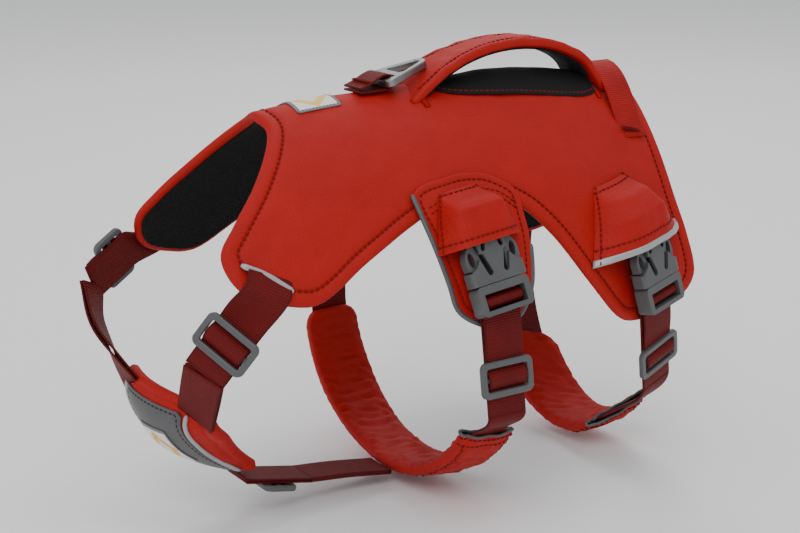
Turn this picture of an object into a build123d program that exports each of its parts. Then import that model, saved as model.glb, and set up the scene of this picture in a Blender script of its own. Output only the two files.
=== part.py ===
from build123d import *
import math
import os

# No pull dog harness, worn shape. Millimetres, +Z up, the dog's head towards -X and its left side at -Y.
# The origin is on the axis of the trunk, at the middle of the front girth loop.

# ---- webbing and cloth ----
WEB = 25.0                  # width of all adjustable webbing
PLY = 1.4                   # thickness of one ply of webbing
GAP = 0.3                   # clearance between pieces that move past each other
SHELL = (-1.0, 0.0)         # lifts above the trunk form: outer cloth, foam and lining of the saddle
FOAM = (-5.0, -1.0)
LINING = (-6.2, -5.0)
GIRTH_PLY = (-2.6, -1.2)    # girth webbing, let into the foam
BINDING = (0.05, 0.85)
BINDING_WIDTH = 9.5
FLAP = (0.95, 2.6)          # where it lies on the saddle
FLAP_SINK = (45.0, 3.6)     # below this height the flap hangs closer to the body, by up to this much
SLEEVE = (-7.5, 3.0)
SLEEVE_WIDTH = 38.0

# ---- trunk form: x, spine height, belly height, height of the widest point, half width, fullness of back ----
TRUNK = (
    (-165, 102.0, -62, -9, 71, 1.45),
    (-130, 105.0, -84, -18, 80, 1.55),
    (-60, 111.0, -108, -26, 91, 1.60),
    (0, 113.5, -114, -30, 96, 1.60),
    (60, 117.0, -114, -24, 90, 1.55),
    (128, 109.0, -113, -10, 72, 1.45),
    (170, 99.0, -104, -2, 68, 1.40),
)
BELLY_FULLNESS = 2.0
SADDLE_STATIONS = (-163, -135, -105, -70, -35, 0, 35, 70, 105, 135, 163)

# ---- saddle outline seen from the side: x, z from the neck edge, under the lobes, to the rump edge ----
NECK_EDGE = [(-107, 116), (-106, 100), (-124, 79), (-143, 59.5), (-153.5, 45), (-147, 28)]
FRONT_LOBE = [(-127, 19.5), (-106, 18.6), (-76.5, 35.6), (-45, 51), (-20, 60), (0, 62.5), (24, 54)]
NEAR_REAR_LOBE = [(42.5, 36.5), (64, 7), (86, -18), (104, -24.5), (127, -24), (146, -18), (156, -5)]
FAR_REAR_LOBE = [(42.5, 38), (62, 19), (84, 3), (104, -3), (127, -3), (146, 1), (154, 9)]
RUMP_EDGE = [(154, 20), (151, 42), (150.4, 72), (150.5, 95), (150, 116)]
ABOVE_SPINE = 140.0

# ---- flap and pockets on the left side, x and z ----
FLAP_OUTLINE = [(-42.5, 64), (-18.5, 71), (-2, 71.6), (10, 69), (22.5, 61), (23.5, 48), (23, 33), (19.5, 12),
                (9, -2), (-6, -5.5), (-17, -3), (-28, 4), (-33, 18), (-38, 38)]
FLAP_PIPING = [(-43, 64.5), (-39, 42.5), (-33.5, 20), (-29.5, 5), (-17, -3.5), (-6, -5.8), (9, -2.2),
               (19.7, 12), (23.2, 33)]

# ---- girth loops: middle of the webbing, heights where the sleeve ends on each side ----
FRONT_GIRTH = dict(x=-6.0, far_top=-40.0, near_top=-72.0, crossing=64.0)
REAR_GIRTH = dict(x=124.0, far_top=-70.0, near_top=-97.0, crossing=30.0)

# ---- buckles and sliders on the left: place on the form, lift of the middle plane, turn ----
FRONT_BUCKLE = dict(x=-9.0, z=17.0, lift=8.1, turn=7.0)
REAR_BUCKLE = dict(x=112.0, z=-1.0, lift=10.0, turn=12.0)
FRONT_SLIDER = dict(z=-33.5, lift=0.7)
REAR_SLIDER = dict(z=-48.0, lift=3.5)
STRAP_END = 21.0            # straight webbing past the middle of a slider

# ---- pockets over the buckle tops: height on the buckle's axis, half base, half roof, roof ----
FRONT_POCKET = ((22.0, 27.0, 17.5, 7.4), (42.0, 19.0, 15.0, 7.4), (55.0, 11.5, 9.0, -5.5))
REAR_POCKET = ((22.0, 42.0, 18.0, 7.4), (42.0, 29.0, 15.5, 7.4), (62.0, 15.0, 12.0, -8.0))

# ---- neck straps: where each leaves the saddle, slider, and where it meets the chest pad ----
NEAR_NECK = dict(exit=(-131, -67, 31), slider=(-152, -54.5, -1.5), pad=(-168.5, -27.5, -38.5), facing=(-0.80, -0.60, 0))
FAR_NECK = dict(exit=(-140.5, 65, 33), slider=(-162.5, 59.5, 20.5), pad=(-169.5, 38, -38), facing=(-0.62, 0.78, 0))

# ---- chest pad: station, then its far edge, middle and near edge ----
CHEST_PAD = (
    (0, -167, 40, -33, -168, 0, -37, -146, -40, -45),
    (1, -170, 32, -50, -170, 0, -54, -149, -37, -57),
    (2, -162, 23, -68, -160, 0, -72, -139, -28, -67),
    (3, -142, 16, -84, -141, 0, -86, -129, -19, -79),
    (4, -119, 12.5, -96, -118, 0, -96, -116, -12.5, -94),
)
PAD_THICK = 7.0

# ---- lower chest strap: x, z from the pad's tail to the front girth ----
CHEST_STRAP = ((-121, -98.5), (-80, -106.5), (-54, -109.0), (-26, -113.0))

# ---- side release buckle, in its own plane: x across, y towards the saddle, z outwards ----
BUCKLE_HALF = 17.5
BUCKLE_THICK = 10.0
WALL = 2.3
MOUTH = 8.0                 # length of the closed mouth band
INSERT_LONG = 16.5
PRONG_PIVOT = (9.3, -2.2)
PRONG_THICK = 5.2

# ---- slider, in its own plane ----
SLIDER = (33.5, 20.5, 3.2)
SLIDER_BAR = 3.8

# ---- leash ring ----
RING_BAR = (-26.0, 0.0, 118.2)
RING_TILT = 15.0
RING_THICK = 4.6
RING_LOOP_WIDTH = 19.0
RING_CLEAR = 3.5            # inner radius of the webbing round the ring's bar

# ---- handle: x, z of its upper face, half width ----
HANDLE_LINE = ((-14, 112.5, 21), (4, 123, 18.5), (26, 132, 15), (50, 137, 13.5), (74, 137.2, 13.5),
               (96, 132.5, 14), (114, 122.5, 16), (126, 109, 18))
HANDLE_THICK = 7.0


def smooth_row(table, at):
    """Values of a table's columns at one place along its first column, on a smooth curve."""
    last = len(table) - 1
    i = max(k for k in range(last) if k == 0 or table[k][0] <= at)
    span = table[i + 1][0] - table[i][0]
    t = (at - table[i][0]) / span

    def slope(k, column):
        low, high = max(k - 1, 0), min(k + 1, last)
        return (table[high][column] - table[low][column]) / (table[high][0] - table[low][0]) * span

    values = []
    for column in range(1, len(table[0])):
        a, b = table[i][column], table[i + 1][column]
        values.append(a + (b - a) * (3 * t**2 - 2 * t**3) + slope(i, column) * (t**3 - 2 * t**2 + t)
                      + slope(i + 1, column) * (t**3 - t**2))
    return values


def trunk_raw(x, angle):
    """y and z of the form at an angle in degrees from the spine, positive on the right side (+Y)."""
    spine, belly, middle, half, fullness = smooth_row(TRUNK, x)
    s, c = math.sin(math.radians(angle)), math.cos(math.radians(angle))
    power = 2 / fullness if c >= 0 else 2 / BELLY_FULLNESS
    y = half * math.copysign(abs(s)**power, s)
    z = middle + (spine - middle if c >= 0 else belly - middle) * abs(c)**power
    return y, z


def outward(x, angle):
    """Unit normal of the form in its cross section, as y and z."""
    (y0, z0), (y1, z1) = trunk_raw(x, angle - 1), trunk_raw(x, angle + 1)
    size = math.hypot(y1 - y0, z1 - z0)
    return (z0 - z1) / size, (y1 - y0) / size


def skin(x, angle, lift=0.0):
    """Point at a lift above the trunk form."""
    y, z = trunk_raw(x, angle)
    ny, nz = outward(x, angle)
    return Vector(x, y + lift * ny, z + lift * nz)


def angle_at(x, z):
    """Angle from the spine at which the form has height z."""
    spine, belly, middle, half, fullness = smooth_row(TRUNK, x)
    if z >= middle:
        return math.degrees(math.acos(min(1.0, (z - middle) / (spine - middle))**(fullness / 2)))
    return math.degrees(math.acos(-((middle - z) / (middle - belly))**(BELLY_FULLNESS / 2)))


def skin_frame(x, z, lift, side=-1, turn=0.0):
    """Plane on the form: x across the strap, y up along it, z outwards, turned about its normal."""
    angle = side * angle_at(x, z)
    centre = skin(x, angle, lift)
    along = skin(x + 2, side * angle_at(x + 2, z)) - skin(x - 2, side * angle_at(x - 2, z))
    ny, nz = outward(x, angle)
    up = Vector(0, -nz * side, ny * side)
    normal = along.cross(up) * (1 if along.cross(up).Y * side > 0 else -1)
    return Plane(Plane(origin=centre, x_dir=up.cross(normal), z_dir=normal).location * Rot(0, 0, turn))


def strap_frame(top, bottom, outwards, at=0.5):
    """Plane of a straight strap: x across it, y towards its top, z outwards; at runs from bottom to top."""
    up = (top - bottom).normalized()
    across = up.cross(outwards).normalized()
    return Plane(origin=bottom + (top - bottom) * at, x_dir=across, z_dir=across.cross(up))


def ribbon(top, bottom, outwards, thick=PLY):
    return strap_frame(top, bottom, outwards) * Box(WEB, (top - bottom).length, thick)


def spread(first, last, count):
    return [first + (last - first) * k / (count - 1) for k in range(count)]


def loop(*pieces):
    """Closed wire from curves that meet end to end."""
    return Wire([edge for piece in pieces for edge in piece.edges()])


def band(stations, first, last, lifts, count=17, rise=lambda x, angle: 0.0):
    """Sheet that follows the form from angle first to angle last, between two lifts, raised here and there."""
    wires = []
    for x in stations:
        outer = Spline([skin(x, a, lifts[1] + rise(x, a)) for a in spread(first, last, count)])
        inner = Spline([skin(x, a, lifts[0] + rise(x, a)) for a in spread(last, first, count)])
        wires.append(loop(outer, Line(outer @ 1, inner @ 0), inner, Line(inner @ 1, outer @ 0)))
    return Solid.make_loft(wires)


def trunk_solid(lift, stations=SADDLE_STATIONS, count=37):
    """The whole trunk form as a closed body, for trimming what lies on it."""
    wires = []
    for x in stations:
        ring = [skin(x, a, lift) for a in spread(-180, 180, count)[:-1]]
        wires.append(loop(Spline(ring, periodic=True)))
    return Solid.make_loft(wires)


def inset(points, distance):
    """Points moved to the left of their direction of travel, in the side view."""
    moved = []
    for k, (x, z) in enumerate(points):
        ax, az = points[max(k - 1, 0)]
        bx, bz = points[min(k + 1, len(points) - 1)]
        size = math.hypot(bx - ax, bz - az)
        moved.append((x - (bz - az) / size * distance, z + (bx - ax) / size * distance))
    return moved


def side_cutter(edge, side, reach=130.0):
    """Block that holds everything above an edge drawn in the side view."""
    run = Spline([(x, 0, z) for x, z in edge])
    ends = [edge[-1], (edge[-1][0], ABOVE_SPINE), (edge[0][0], ABOVE_SPINE), edge[0]]
    roof = Polyline([(x, 0, z) for x, z in ends])
    return extrude(Face(loop(run, roof)), amount=reach, dir=(0, side, 0))


def outline_cutter(points, side=-1, reach=130.0):
    """Block with a closed smooth outline drawn in the side view."""
    rim = Spline([(x, 0, z) for x, z in points], periodic=True)
    return extrude(Face(loop(rim)), amount=reach, dir=(0, side, 0))


def path_cutter(points, width, side=-1, reach=130.0):
    """Block with the outline of a strip along a path drawn in the side view."""
    left, right = inset(points, width / 2), inset(points, -width / 2)
    one = Spline([(x, 0, z) for x, z in left])
    two = Spline([(x, 0, z) for x, z in reversed(right)])
    rim = loop(one, Line(one @ 1, two @ 0), two, Line(two @ 1, one @ 0))
    return extrude(Face(rim), amount=reach, dir=(0, side, 0))


def saddle_cutter(distance=0.0):
    near = inset(NECK_EDGE + FRONT_LOBE + NEAR_REAR_LOBE + RUMP_EDGE, distance)
    far = inset(NECK_EDGE + FRONT_LOBE + FAR_REAR_LOBE + RUMP_EDGE, distance)
    return side_cutter(near, -1) + side_cutter(far, 1)


def saddle_layer(lifts, cutter):
    return band(SADDLE_STATIONS, -112, 112, lifts, 21) & cutter


def save(name, shape):
    """Writes one sub-part as its own STEP file."""
    solids = shape.solids() if hasattr(shape, "solids") else [shape]
    body = solids[0] if len(solids) == 1 else Compound(children=solids)
    body.label = name
    export_step(body, os.path.join("parts", name + ".step"))


# ---------------------------------------------------------------- saddle
def make_saddle():
    whole = saddle_cutter()
    save("saddle_shell", saddle_layer(SHELL, whole))
    channel_lifts = (GIRTH_PLY[0] - GAP, FOAM[1] + 0.2)
    channels = [band(girth_stations(girth, 0.5), -88, 88, channel_lifts, 21) for girth in (FRONT_GIRTH, REAR_GIRTH)]
    save("saddle_foam", saddle_layer(FOAM, saddle_cutter(2.0)) - channels)
    save("saddle_lining", saddle_layer(LINING, whole))
    save("saddle_binding", saddle_layer(BINDING, whole - saddle_cutter(BINDING_WIDTH)))
    recess = [(-4, 0), (8, -15), (35, -22), (70, -24), (105, -21), (123, -12), (126, 0),
              (123, 12), (105, 21), (70, 24), (35, 22), (8, 15)]
    rim = Spline([(x, y, 60) for x, y in recess], periodic=True)
    save("handle_recess", band(SADDLE_STATIONS, -60, 60, (0.3, 0.8))
         & extrude(Face(loop(rim)), amount=80, dir=(0, 0, 1)))
    patch = Pos(-71, 0, 100) * extrude(RectangleRounded(28, 25, 1.5), 40)
    save("label_patch", band(spread(-90, -52, 4), -45, 45, (0.3, 1.1)) & patch)
    trims = []
    for side in (-1, 1):
        sheet = band(spread(-155, -110, 5), side * 50, side * 100, (1.2, 2.6))
        trims.append(sheet & path_cutter([(-147, 41), (-134, 35), (-121, 25)], 3.2, side))
    save("neck_trims", Compound(children=[s for t in trims for s in t.solids()]))


def flap_sink(x, angle):
    """How far the flap hangs in towards the body at a place on the form."""
    start, depth = FLAP_SINK
    t = min(max((start - trunk_raw(x, angle)[1]) / start, 0.0), 1.0)
    return -depth * (3 * t**2 - 2 * t**3)


def make_flap():
    stations = spread(-50, 30, 6)
    panel = band(stations, -112, -40, FLAP, rise=flap_sink) & outline_cutter(FLAP_OUTLINE)
    panel = (panel - path_cutter(FLAP_PIPING, 2.4)).solids().sort_by(SortBy.VOLUME)[-1]
    piping = band(stations, -112, -40, (FLAP[0], FLAP[1] + 0.3), rise=flap_sink) & path_cutter(FLAP_PIPING, 2.2)
    save("mid_flap", panel)
    save("mid_flap_piping", piping)


# ---------------------------------------------------------------- handle, label and leash ring
def handle_section(k, top, bottom, trim):
    """Rounded section of the handle, between two depths below its upper line."""
    x, z, half = HANDLE_LINE[k]
    before, after = HANDLE_LINE[max(k - 1, 0)], HANDLE_LINE[min(k + 1, len(HANDLE_LINE) - 1)]
    along = Vector(after[0] - before[0], 0, after[1] - before[1]).normalized()
    across = Vector(0, 1, 0)
    up = along.cross(across) * -1
    up = up if up.Z > 0 else up * -1
    plane = Plane(origin=Vector(x, 0, z) - up * ((top + bottom) / 2), x_dir=across, z_dir=along)
    height = bottom - top
    return (plane * RectangleRounded(2 * (half - trim), height, height * 0.42)).wire()


def handle_body(top, bottom, trim):
    return Solid.make_loft([handle_section(k, top, bottom, trim) for k in range(len(HANDLE_LINE))])


def make_handle():
    clear = trunk_solid(0.9)
    core = handle_body(2.4, 4.6, 3.5)
    save("handle_cover", handle_body(0.0, HANDLE_THICK - 1.2, 0.0) - handle_body(2.2, 4.8, 3.3) - clear)
    save("handle_webbing", core - clear)
    save("handle_lining", handle_body(HANDLE_THICK - 1.0, HANDLE_THICK, 2.0) - clear)
    tacks = []
    for side in (-1, 1):
        for x, first, last in ((-8, 31, 40), (117, 28, 40)):
            tacks.append(band(spread(x - 1.3, x + 1.3, 3), side * first, side * last, (0.95, 2.0), 5))
    save("handle_bartacks", Compound(children=tacks))


def make_spine_loop():
    """Webbing loop across the spine behind the handle, arched up off the cloth."""
    wires = []
    for x in spread(121, 140, 3):
        ends = [skin(x, a, 0.5 + 8.5 * math.cos(math.radians(a * 90 / 50))**2) for a in spread(-50, 50, 11)]
        outer = Spline(ends)
        inner = Spline([p - Vector(0, 0, PLY) for p in reversed(ends)])
        wires.append(loop(outer, Line(outer @ 1, inner @ 0), inner, Line(inner @ 1, outer @ 0)))
    save("spine_loop", Solid.make_loft(wires) - trunk_solid(0.9) - handle_body(-0.3, HANDLE_THICK + 0.3, -0.3))


def ring_frame():
    return Plane(origin=RING_BAR, x_dir=(0, 1, 0),
                 z_dir=Vector(-math.sin(math.radians(RING_TILT)), 0, math.cos(math.radians(RING_TILT))))


def make_leash_ring():
    """Forged ring: a bar for the webbing, a cross bar, and a rounded eye that takes the leash."""
    base = [Pos(sx * 11.5, -1.2) * Circle(3.4) for sx in (-1, 1)] + [Pos(0, -25.5) * Circle(6.4)]
    plate = extrude(make_hull(Sketch(children=base).edges()), RING_THICK / 2, both=True)
    slot = extrude(Pos(0, -4.0) * RectangleRounded(21, 3.6, 1.6), RING_THICK, both=True)
    eye_parts = [Pos(sx * 5.6, -12.8) * Circle(2.2) for sx in (-1, 1)] + [Pos(0, -25) * Circle(2.9)]
    eye = extrude(make_hull(Sketch(children=eye_parts).edges()), RING_THICK, both=True)
    ring = plate - slot - eye
    ring = fillet(ring.edges().filter_by(GeomType.CIRCLE).filter_by(lambda e: e.length > 4), 0.9)
    save("leash_ring", ring_frame() * ring)


def make_ring_loop():
    """Webbing sewn to the spine, folded round the ring's bar."""
    def fold(radius, end, height):
        parts = [Circle(radius), Pos(end, height) * Rectangle(1.0, 2 * (radius - RING_CLEAR) + 0.4)]
        return make_hull(Sketch(children=parts).edges())
    inner = fold(RING_CLEAR, -12, -2.6)
    outer = fold(RING_CLEAR + PLY, -16, -2.8)
    plane = Plane(origin=RING_BAR, x_dir=(1, 0, 0), z_dir=(0, -1, 0))
    save("ring_loop", plane * extrude(outer - inner, RING_LOOP_WIDTH / 2, both=True) - trunk_solid(0.1))


# ---------------------------------------------------------------- buckles
def receiver():
    """Upper half: mouth band, waisted front and back plates with slots, and a bar for the tab."""
    waist = [(-17.5, 8), (-12.6, 10.5), (-9.2, 16), (-9.6, 22), (-13, 27)]
    side = Spline([(x, y) for x, y in waist])
    other = Spline([(-x, y) for x, y in reversed(waist)])
    rim = loop(side, Line((-13, 27), (13, 27)), other, Line((17.5, 8), (-17.5, 8)))
    plates = extrude(Face(rim), BUCKLE_THICK / 2, both=True)
    band_block = Pos(0, MOUTH / 2 + 0.1) * Box(2 * BUCKLE_HALF, MOUTH - 0.2, BUCKLE_THICK)
    band_block = fillet(band_block.edges().filter_by(Axis.Y), 2.2)
    head = Pos(0, 32.2) * Box(30, 11.6, 8.4)
    head = fillet(head.edges().filter_by(Axis.Z), 3.0)
    body = band_block + plates + head
    cavity = Pos(0, 12.5) * Box(2 * (BUCKLE_HALF - WALL), 25, BUCKLE_THICK - 2 * 2.0)
    cavity += Pos(0, 16.5) * Box(50, 16.4, BUCKLE_THICK - 2 * 2.0)
    slot = extrude(Pos(0, 32.4) * RectangleRounded(26.4, 3.6, 1.2), 10, both=True)
    holes = []
    for sx in (-1, 1):
        holes.append(Pos(sx * 5.2, 22.6) * Rot(0, 0, sx * 14) * SlotOverall(9.5, 2.6, rotation=90))
        holes.append(Pos(sx * 6.8, 10.6) * Rot(0, 0, -sx * 18) * SlotOverall(13, 3.6, rotation=90))
    slots = extrude(Sketch(children=holes), 6)
    return body - cavity - slot - slots


def prong(hand):
    """Springy arm with a looped shoulder that latches above the mouth band; hand is -1 or 1 across."""
    px, py = PRONG_PIVOT
    outer = [(px + 1.7, 0.2), (11.0, 4.5), (12.8, 8.6), (16.9, 9.1), (17.5, 13.5), (16.4, 18.6), (12.8, 22.4),
             (9.4, 19.4), (7.9, 12.5), (7.4, 6), (px - 1.7, 0.2)]
    rim = loop(Polyline(outer[2:4]), Spline(outer[3:8]), Spline(outer[7:]),
               Polyline([outer[-1], (px - 1.7, py), (px + 1.7, py), outer[0]]), Spline(outer[:3]))
    arm = Face(rim) + Pos(px, py) * Circle(1.8)
    eye = Pos(13.6, 14.8) * Rot(0, 0, -6) * Ellipse(1.9, 4.3)
    body = extrude(arm - eye, PRONG_THICK / 2, both=True)
    return body if hand > 0 else mirror(body, Plane.YZ)


def insert():
    """Lower half: frame with a bar for the webbing, sockets for the prongs and a centre guide."""
    frame = Pos(0, -INSERT_LONG / 2 - 0.2) * Box(2 * 16.9, INSERT_LONG, 9.4)
    frame = fillet(frame.edges().filter_by(Axis.Z), 3.0)
    window = Pos(0, -9.4) * Box(26.2, 9.2, 20)
    frame = frame - window
    bar = Pos(0, -9.3, -1.2) * fillet(Box(27, 3.2, 3.6).edges().filter_by(Axis.X), 1.0)
    guide = Pos(0, 6) * Box(6, 14, 4.8)
    guide = chamfer(guide.edges().filter_by(Axis.Z).group_by(Axis.Y)[-1], 1.8)
    sockets = []
    for sx in (-1, 1):
        px, py = PRONG_PIVOT
        sockets.append(Pos(sx * px, py) * Cylinder(1.8 + GAP, PRONG_THICK + 2 * GAP))
        sockets.append(Pos(sx * (px - 0.4), 0) * Box(5.4, 2.6, PRONG_THICK + 2 * GAP))
    return frame + bar + guide - sockets


def insert_webbing():
    """Webbing turned over the bar of the insert, both plies leaving behind its lower edge."""
    over = Pos(0, -9.3, -0.7) * Box(WEB, 8.4, 8.4)
    over = fillet(over.edges().filter_by(Axis.X).group_by(Axis.Z)[-1], 2.6)
    hollow = Pos(0, -9.3, -1.2) * Box(40, 3.8, 4.2)
    return over - hollow


def tab():
    """Webbing tab through the bar of the receiver."""
    wrap = Pos(0, 36.2, 0) * Box(WEB, 9.6, 11.4)
    wrap = fillet(wrap.edges().filter_by(Axis.X), 2.6)
    return wrap - Pos(0, 36.1, 0) * Box(40, 4.6, 9.0)


def slider():
    """Plain slider: rounded frame with one bar across."""
    wide, long, thick = SLIDER
    frame = RectangleRounded(wide, long, 4.0) - RectangleRounded(wide - 2 * 3.6, long - 2 * SLIDER_BAR, 1.4)
    body = extrude(frame, thick / 2, both=True)
    body = fillet(body.faces().filter_by(Axis.Z).edges(), 0.9)
    bar = Pos(0, 0, -0.2) * fillet(Box(wide - 6, 2.8, 2.2).edges().filter_by(Axis.X), 0.6)
    return body + bar


def slider_webbing():
    """Ply of webbing over the slider's bar."""
    over = Pos(0, 0, 0.5) * Box(WEB, 11.2, 4.2)
    over = fillet(over.edges().filter_by(Axis.X).group_by(Axis.Z)[-1], 2.0)
    return over - Pos(0, 0, -0.75) * Box(40, 3.6, 4.1)


# ---------------------------------------------------------------- girth loops
def girth_stations(girth, spare=0.0):
    return spread(girth["x"] - WEB / 2 - spare, girth["x"] + WEB / 2 + spare, 3)


def near_angle(girth, z):
    """Angle on the left side, counted round through the belly."""
    return 360 - angle_at(girth["x"], z)


def make_girth(name, girth, place, held):
    """Webbing over the spine and down the right, padded sleeve under the belly, buckle and slider on the left."""
    x = girth["x"]
    sleeve_start, sleeve_end = angle_at(x, girth["far_top"]), near_angle(girth, girth["near_top"])
    crossing = -angle_at(x, girth["crossing"])
    webbing = band(girth_stations(girth), crossing, sleeve_end - 1.0, GIRTH_PLY, 61)
    save(name + "_girth_webbing", webbing)
    sleeve = band(spread(x - SLEEVE_WIDTH / 2, x + SLEEVE_WIDTH / 2, 3), sleeve_start, sleeve_end, SLEEVE, 33)
    channel_lifts = (GIRTH_PLY[0] - 0.4, GIRTH_PLY[1] + 0.4)
    channel = band(girth_stations(girth, 0.5), sleeve_start - 5, sleeve_end + 5, channel_lifts, 37)
    save(name + "_girth_sleeve", sleeve - channel)

    buckle = skin_frame(place["x"], place["z"], place["lift"], -1, place["turn"])
    save(name + "_buckle_receiver", buckle * receiver())
    save(name + "_buckle_tab", buckle * tab())
    save(name + "_buckle_insert", buckle * insert())
    save(name + "_prong_fore", buckle * prong(-1))
    save(name + "_prong_aft", buckle * prong(1))

    middle = (GIRTH_PLY[0] + GIRTH_PLY[1]) / 2
    top = buckle.from_local_coords(Vector(0, -INSERT_LONG + 0.6, -BUCKLE_THICK / 2 - PLY / 2 - 0.8))
    normal = skin_frame(x, held["z"], 0).z_dir
    at_slider = skin(x, -angle_at(x, held["z"]), held["lift"])
    down = (at_slider - top).normalized()
    bottom = at_slider + down * STRAP_END
    strap = ribbon(top, bottom, normal)
    save(name + "_buckle_webbing", buckle * insert_webbing())
    save(name + "_strap", strap)
    frame = strap_frame(top, bottom, normal, STRAP_END / (top - bottom).length)
    outer = frame * Pos(0, 0, PLY / 2 + GAP + SLIDER[2] / 2)
    save(name + "_slider", outer * slider())
    save(name + "_slider_webbing", outer * slider_webbing())
    end_angle = near_angle(girth, bottom.Z) - 0.8
    first_angle = sleeve_end - 0.6
    end_lift = (abs(bottom.Y) - abs(trunk_raw(x, angle_at(x, bottom.Z))[0])) - middle

    def rise(x, angle):
        return end_lift * ((angle - first_angle) / (end_angle - first_angle))**2

    save(name + "_strap_tail", band(girth_stations(girth), first_angle, end_angle, GIRTH_PLY, 15, rise))


# ---------------------------------------------------------------- pockets
def tent(plane, rows, shrink, deep=25.0):
    """Tapering cover, its walls standing on the form and its roof over the buckle."""
    wires = []
    for v, base, roof, height in rows:
        floor = min(-8.0, height - 1.0)
        points = [(-base, -deep), (-base, floor), (-roof, height), (roof, height), (base, floor), (base, -deep)]
        inner = [(math.copysign(abs(u) - shrink, u), n - shrink * (n > -deep)) for u, n in points]
        corners = [plane.from_local_coords(Vector(u, v, n)) for u, n in inner]
        wires.append(Wire(Polyline(corners, close=True).edges()))
    return Solid.make_loft(wires, ruled=True)


def make_pocket(name, place, rows, ground):
    plane = skin_frame(place["x"], place["z"], place["lift"], -1, place["turn"])
    below = [(rows[0][0] - 3.0,) + rows[0][1:]]
    inside = tent(plane, below + [(rows[0][0] - 0.01,) + rows[0][1:]] + list(rows[1:-1])
                  + [(rows[-1][0] - 1.2,) + rows[-1][1:]], 1.0)
    clear = trunk_solid(ground)
    save(name, tent(plane, rows, 0.0) - inside - clear)
    return plane, clear


def make_pockets():
    make_pocket("front_pocket", FRONT_BUCKLE, FRONT_POCKET, FLAP[1] + 0.5)
    plane, clear = make_pocket("rear_pocket", REAR_BUCKLE, REAR_POCKET, BINDING[1] + 0.1)
    edge = REAR_POCKET[0][0]
    slab = plane * Pos(0, edge + 1.7, 0) * Box(200, 3.4, 80)
    trim = (tent(plane, REAR_POCKET, -1.1) - tent(plane, REAR_POCKET, -0.05)) & slab
    save("rear_pocket_trim", trim - clear)


# ---------------------------------------------------------------- neck straps
def make_neck_strap(name, side, saddle_block):
    top, middle, pad, facing = (Vector(*side[key]) for key in ("exit", "slider", "pad", "facing"))
    down = (middle - top).normalized()
    straight_end = middle + down * STRAP_END
    upper = ribbon(top, straight_end, facing)
    visible = (upper - saddle_block).solids().sort_by(SortBy.VOLUME)[-1]
    frame = strap_frame(top, straight_end, facing, STRAP_END / (top - straight_end).length)
    outer = frame * Pos(0, 0, PLY / 2 + GAP + SLIDER[2] / 2)
    save(name + "_neck_slider", outer * slider())
    save(name + "_neck_slider_webbing", outer * slider_webbing())
    outward_pad = Vector(-0.9, facing.Y * 0.35, -0.25)
    ends = [strap_frame(top, straight_end, facing, 0.0), strap_frame(straight_end, pad, facing + outward_pad, 0.45),
            strap_frame(straight_end, pad, outward_pad, 0.0)]
    section = Rectangle(WEB, 2 * PLY + 0.4)
    wires = [(Plane(plane.origin, plane.x_dir, plane.y_dir) * section).wire() for plane in ends]
    lower = Solid.make_loft(wires)
    save(name + "_neck_strap", visible)
    save(name + "_neck_loop", lower - upper)


# ---------------------------------------------------------------- chest pad
def pad_point(s, t, lift=0.0):
    """Point on the chest pad: s from its top edge to its tail, t from -1 at the right to 1 at the left."""
    def raw(s, t):
        row = smooth_row(CHEST_PAD, min(max(s, 0.0), 4.0))
        far, mid, near = Vector(*row[:3]), Vector(*row[3:6]), Vector(*row[6:])
        return far * (t * (t - 1) / 2) + mid * (1 - t * t) + near * (t * (t + 1) / 2)
    if s > 3.95:
        along = raw(3.95, t) - raw(3.85, t)
    else:
        along = raw(s + 0.05, t) - raw(max(s - 0.05, 0.0), t)
    across = raw(s, t + 0.05) - raw(s, t - 0.05)
    return raw(s, t) + along.cross(across).normalized() * lift


def pad_sheet(s_range, t_range, lifts, rows=7, edge=0.0):
    """Sheet that follows the chest pad between two lifts, its inner face drawn in by edge."""
    back = (t_range[1] - edge, t_range[0] + edge)
    wires = []
    for s in spread(*s_range, rows):
        middle = pad_point(s, 0)
        across = (pad_point(s, 1) - pad_point(s, -1)).normalized()
        square = across.cross(pad_point(s, 0, 1.0) - middle).normalized()

        def flat(t, lift):
            point = pad_point(s, t, lift)
            return point - square * (point - middle).dot(square)

        outer = Spline([flat(t, lifts[1]) for t in spread(*t_range, 7)])
        inner = Spline([flat(t, lifts[0]) for t in spread(*back, 7)])
        wires.append(loop(outer, Line(outer @ 1, inner @ 0), inner, Line(inner @ 1, outer @ 0)))
    return Solid.make_loft(wires)


def make_chest():
    save("chest_pad", pad_sheet((0, 4), (-1, 1), (-PAD_THICK, 0), 9, 0.1))
    save("chest_panel", pad_sheet((0.5, 3.7), (-0.86, 0.5), (0.5, 1.3)))
    pipes = [pad_sheet((0.5, 3.7), (t - 0.045, t + 0.045), (0.4, 2.0)) for t in (-0.92, 0.56)]
    save("chest_piping", Compound(children=pipes))
    save("chest_label", pad_sheet((1.3, 2.6), (-0.5, 0.15), (1.6, 2.2)))


def flat_strap(points, thick):
    """Webbing along a line in the middle plane, given by x and z of its upper face."""
    upper = Spline([(x, 0, z) for x, z in points])
    lower = Spline([(x, 0, z - thick) for x, z in reversed(points)])
    rim = loop(upper, Line(upper @ 1, lower @ 0), lower, Line(lower @ 1, upper @ 0))
    return extrude(Face(rim), amount=WEB / 2, both=True)


def make_chest_strap():
    first, second = (Vector(x, 0, z) for x, z in CHEST_STRAP[:2])
    downwards = Vector(0, 0, -1)
    save("chest_strap", ribbon(first, second, downwards, 2 * PLY))
    frame = strap_frame(first, second, downwards)
    outer = frame * Pos(0, 0, PLY + GAP + SLIDER[2] / 2)
    save("chest_slider", outer * slider())
    save("chest_slider_webbing", outer * slider_webbing())
    rest = [(second.X + 0.3, second.Z + PLY)] + [(x, z + PLY) for x, z in CHEST_STRAP[2:]]
    save("chest_girth_strap", flat_strap(rest, 2 * PLY))


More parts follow.
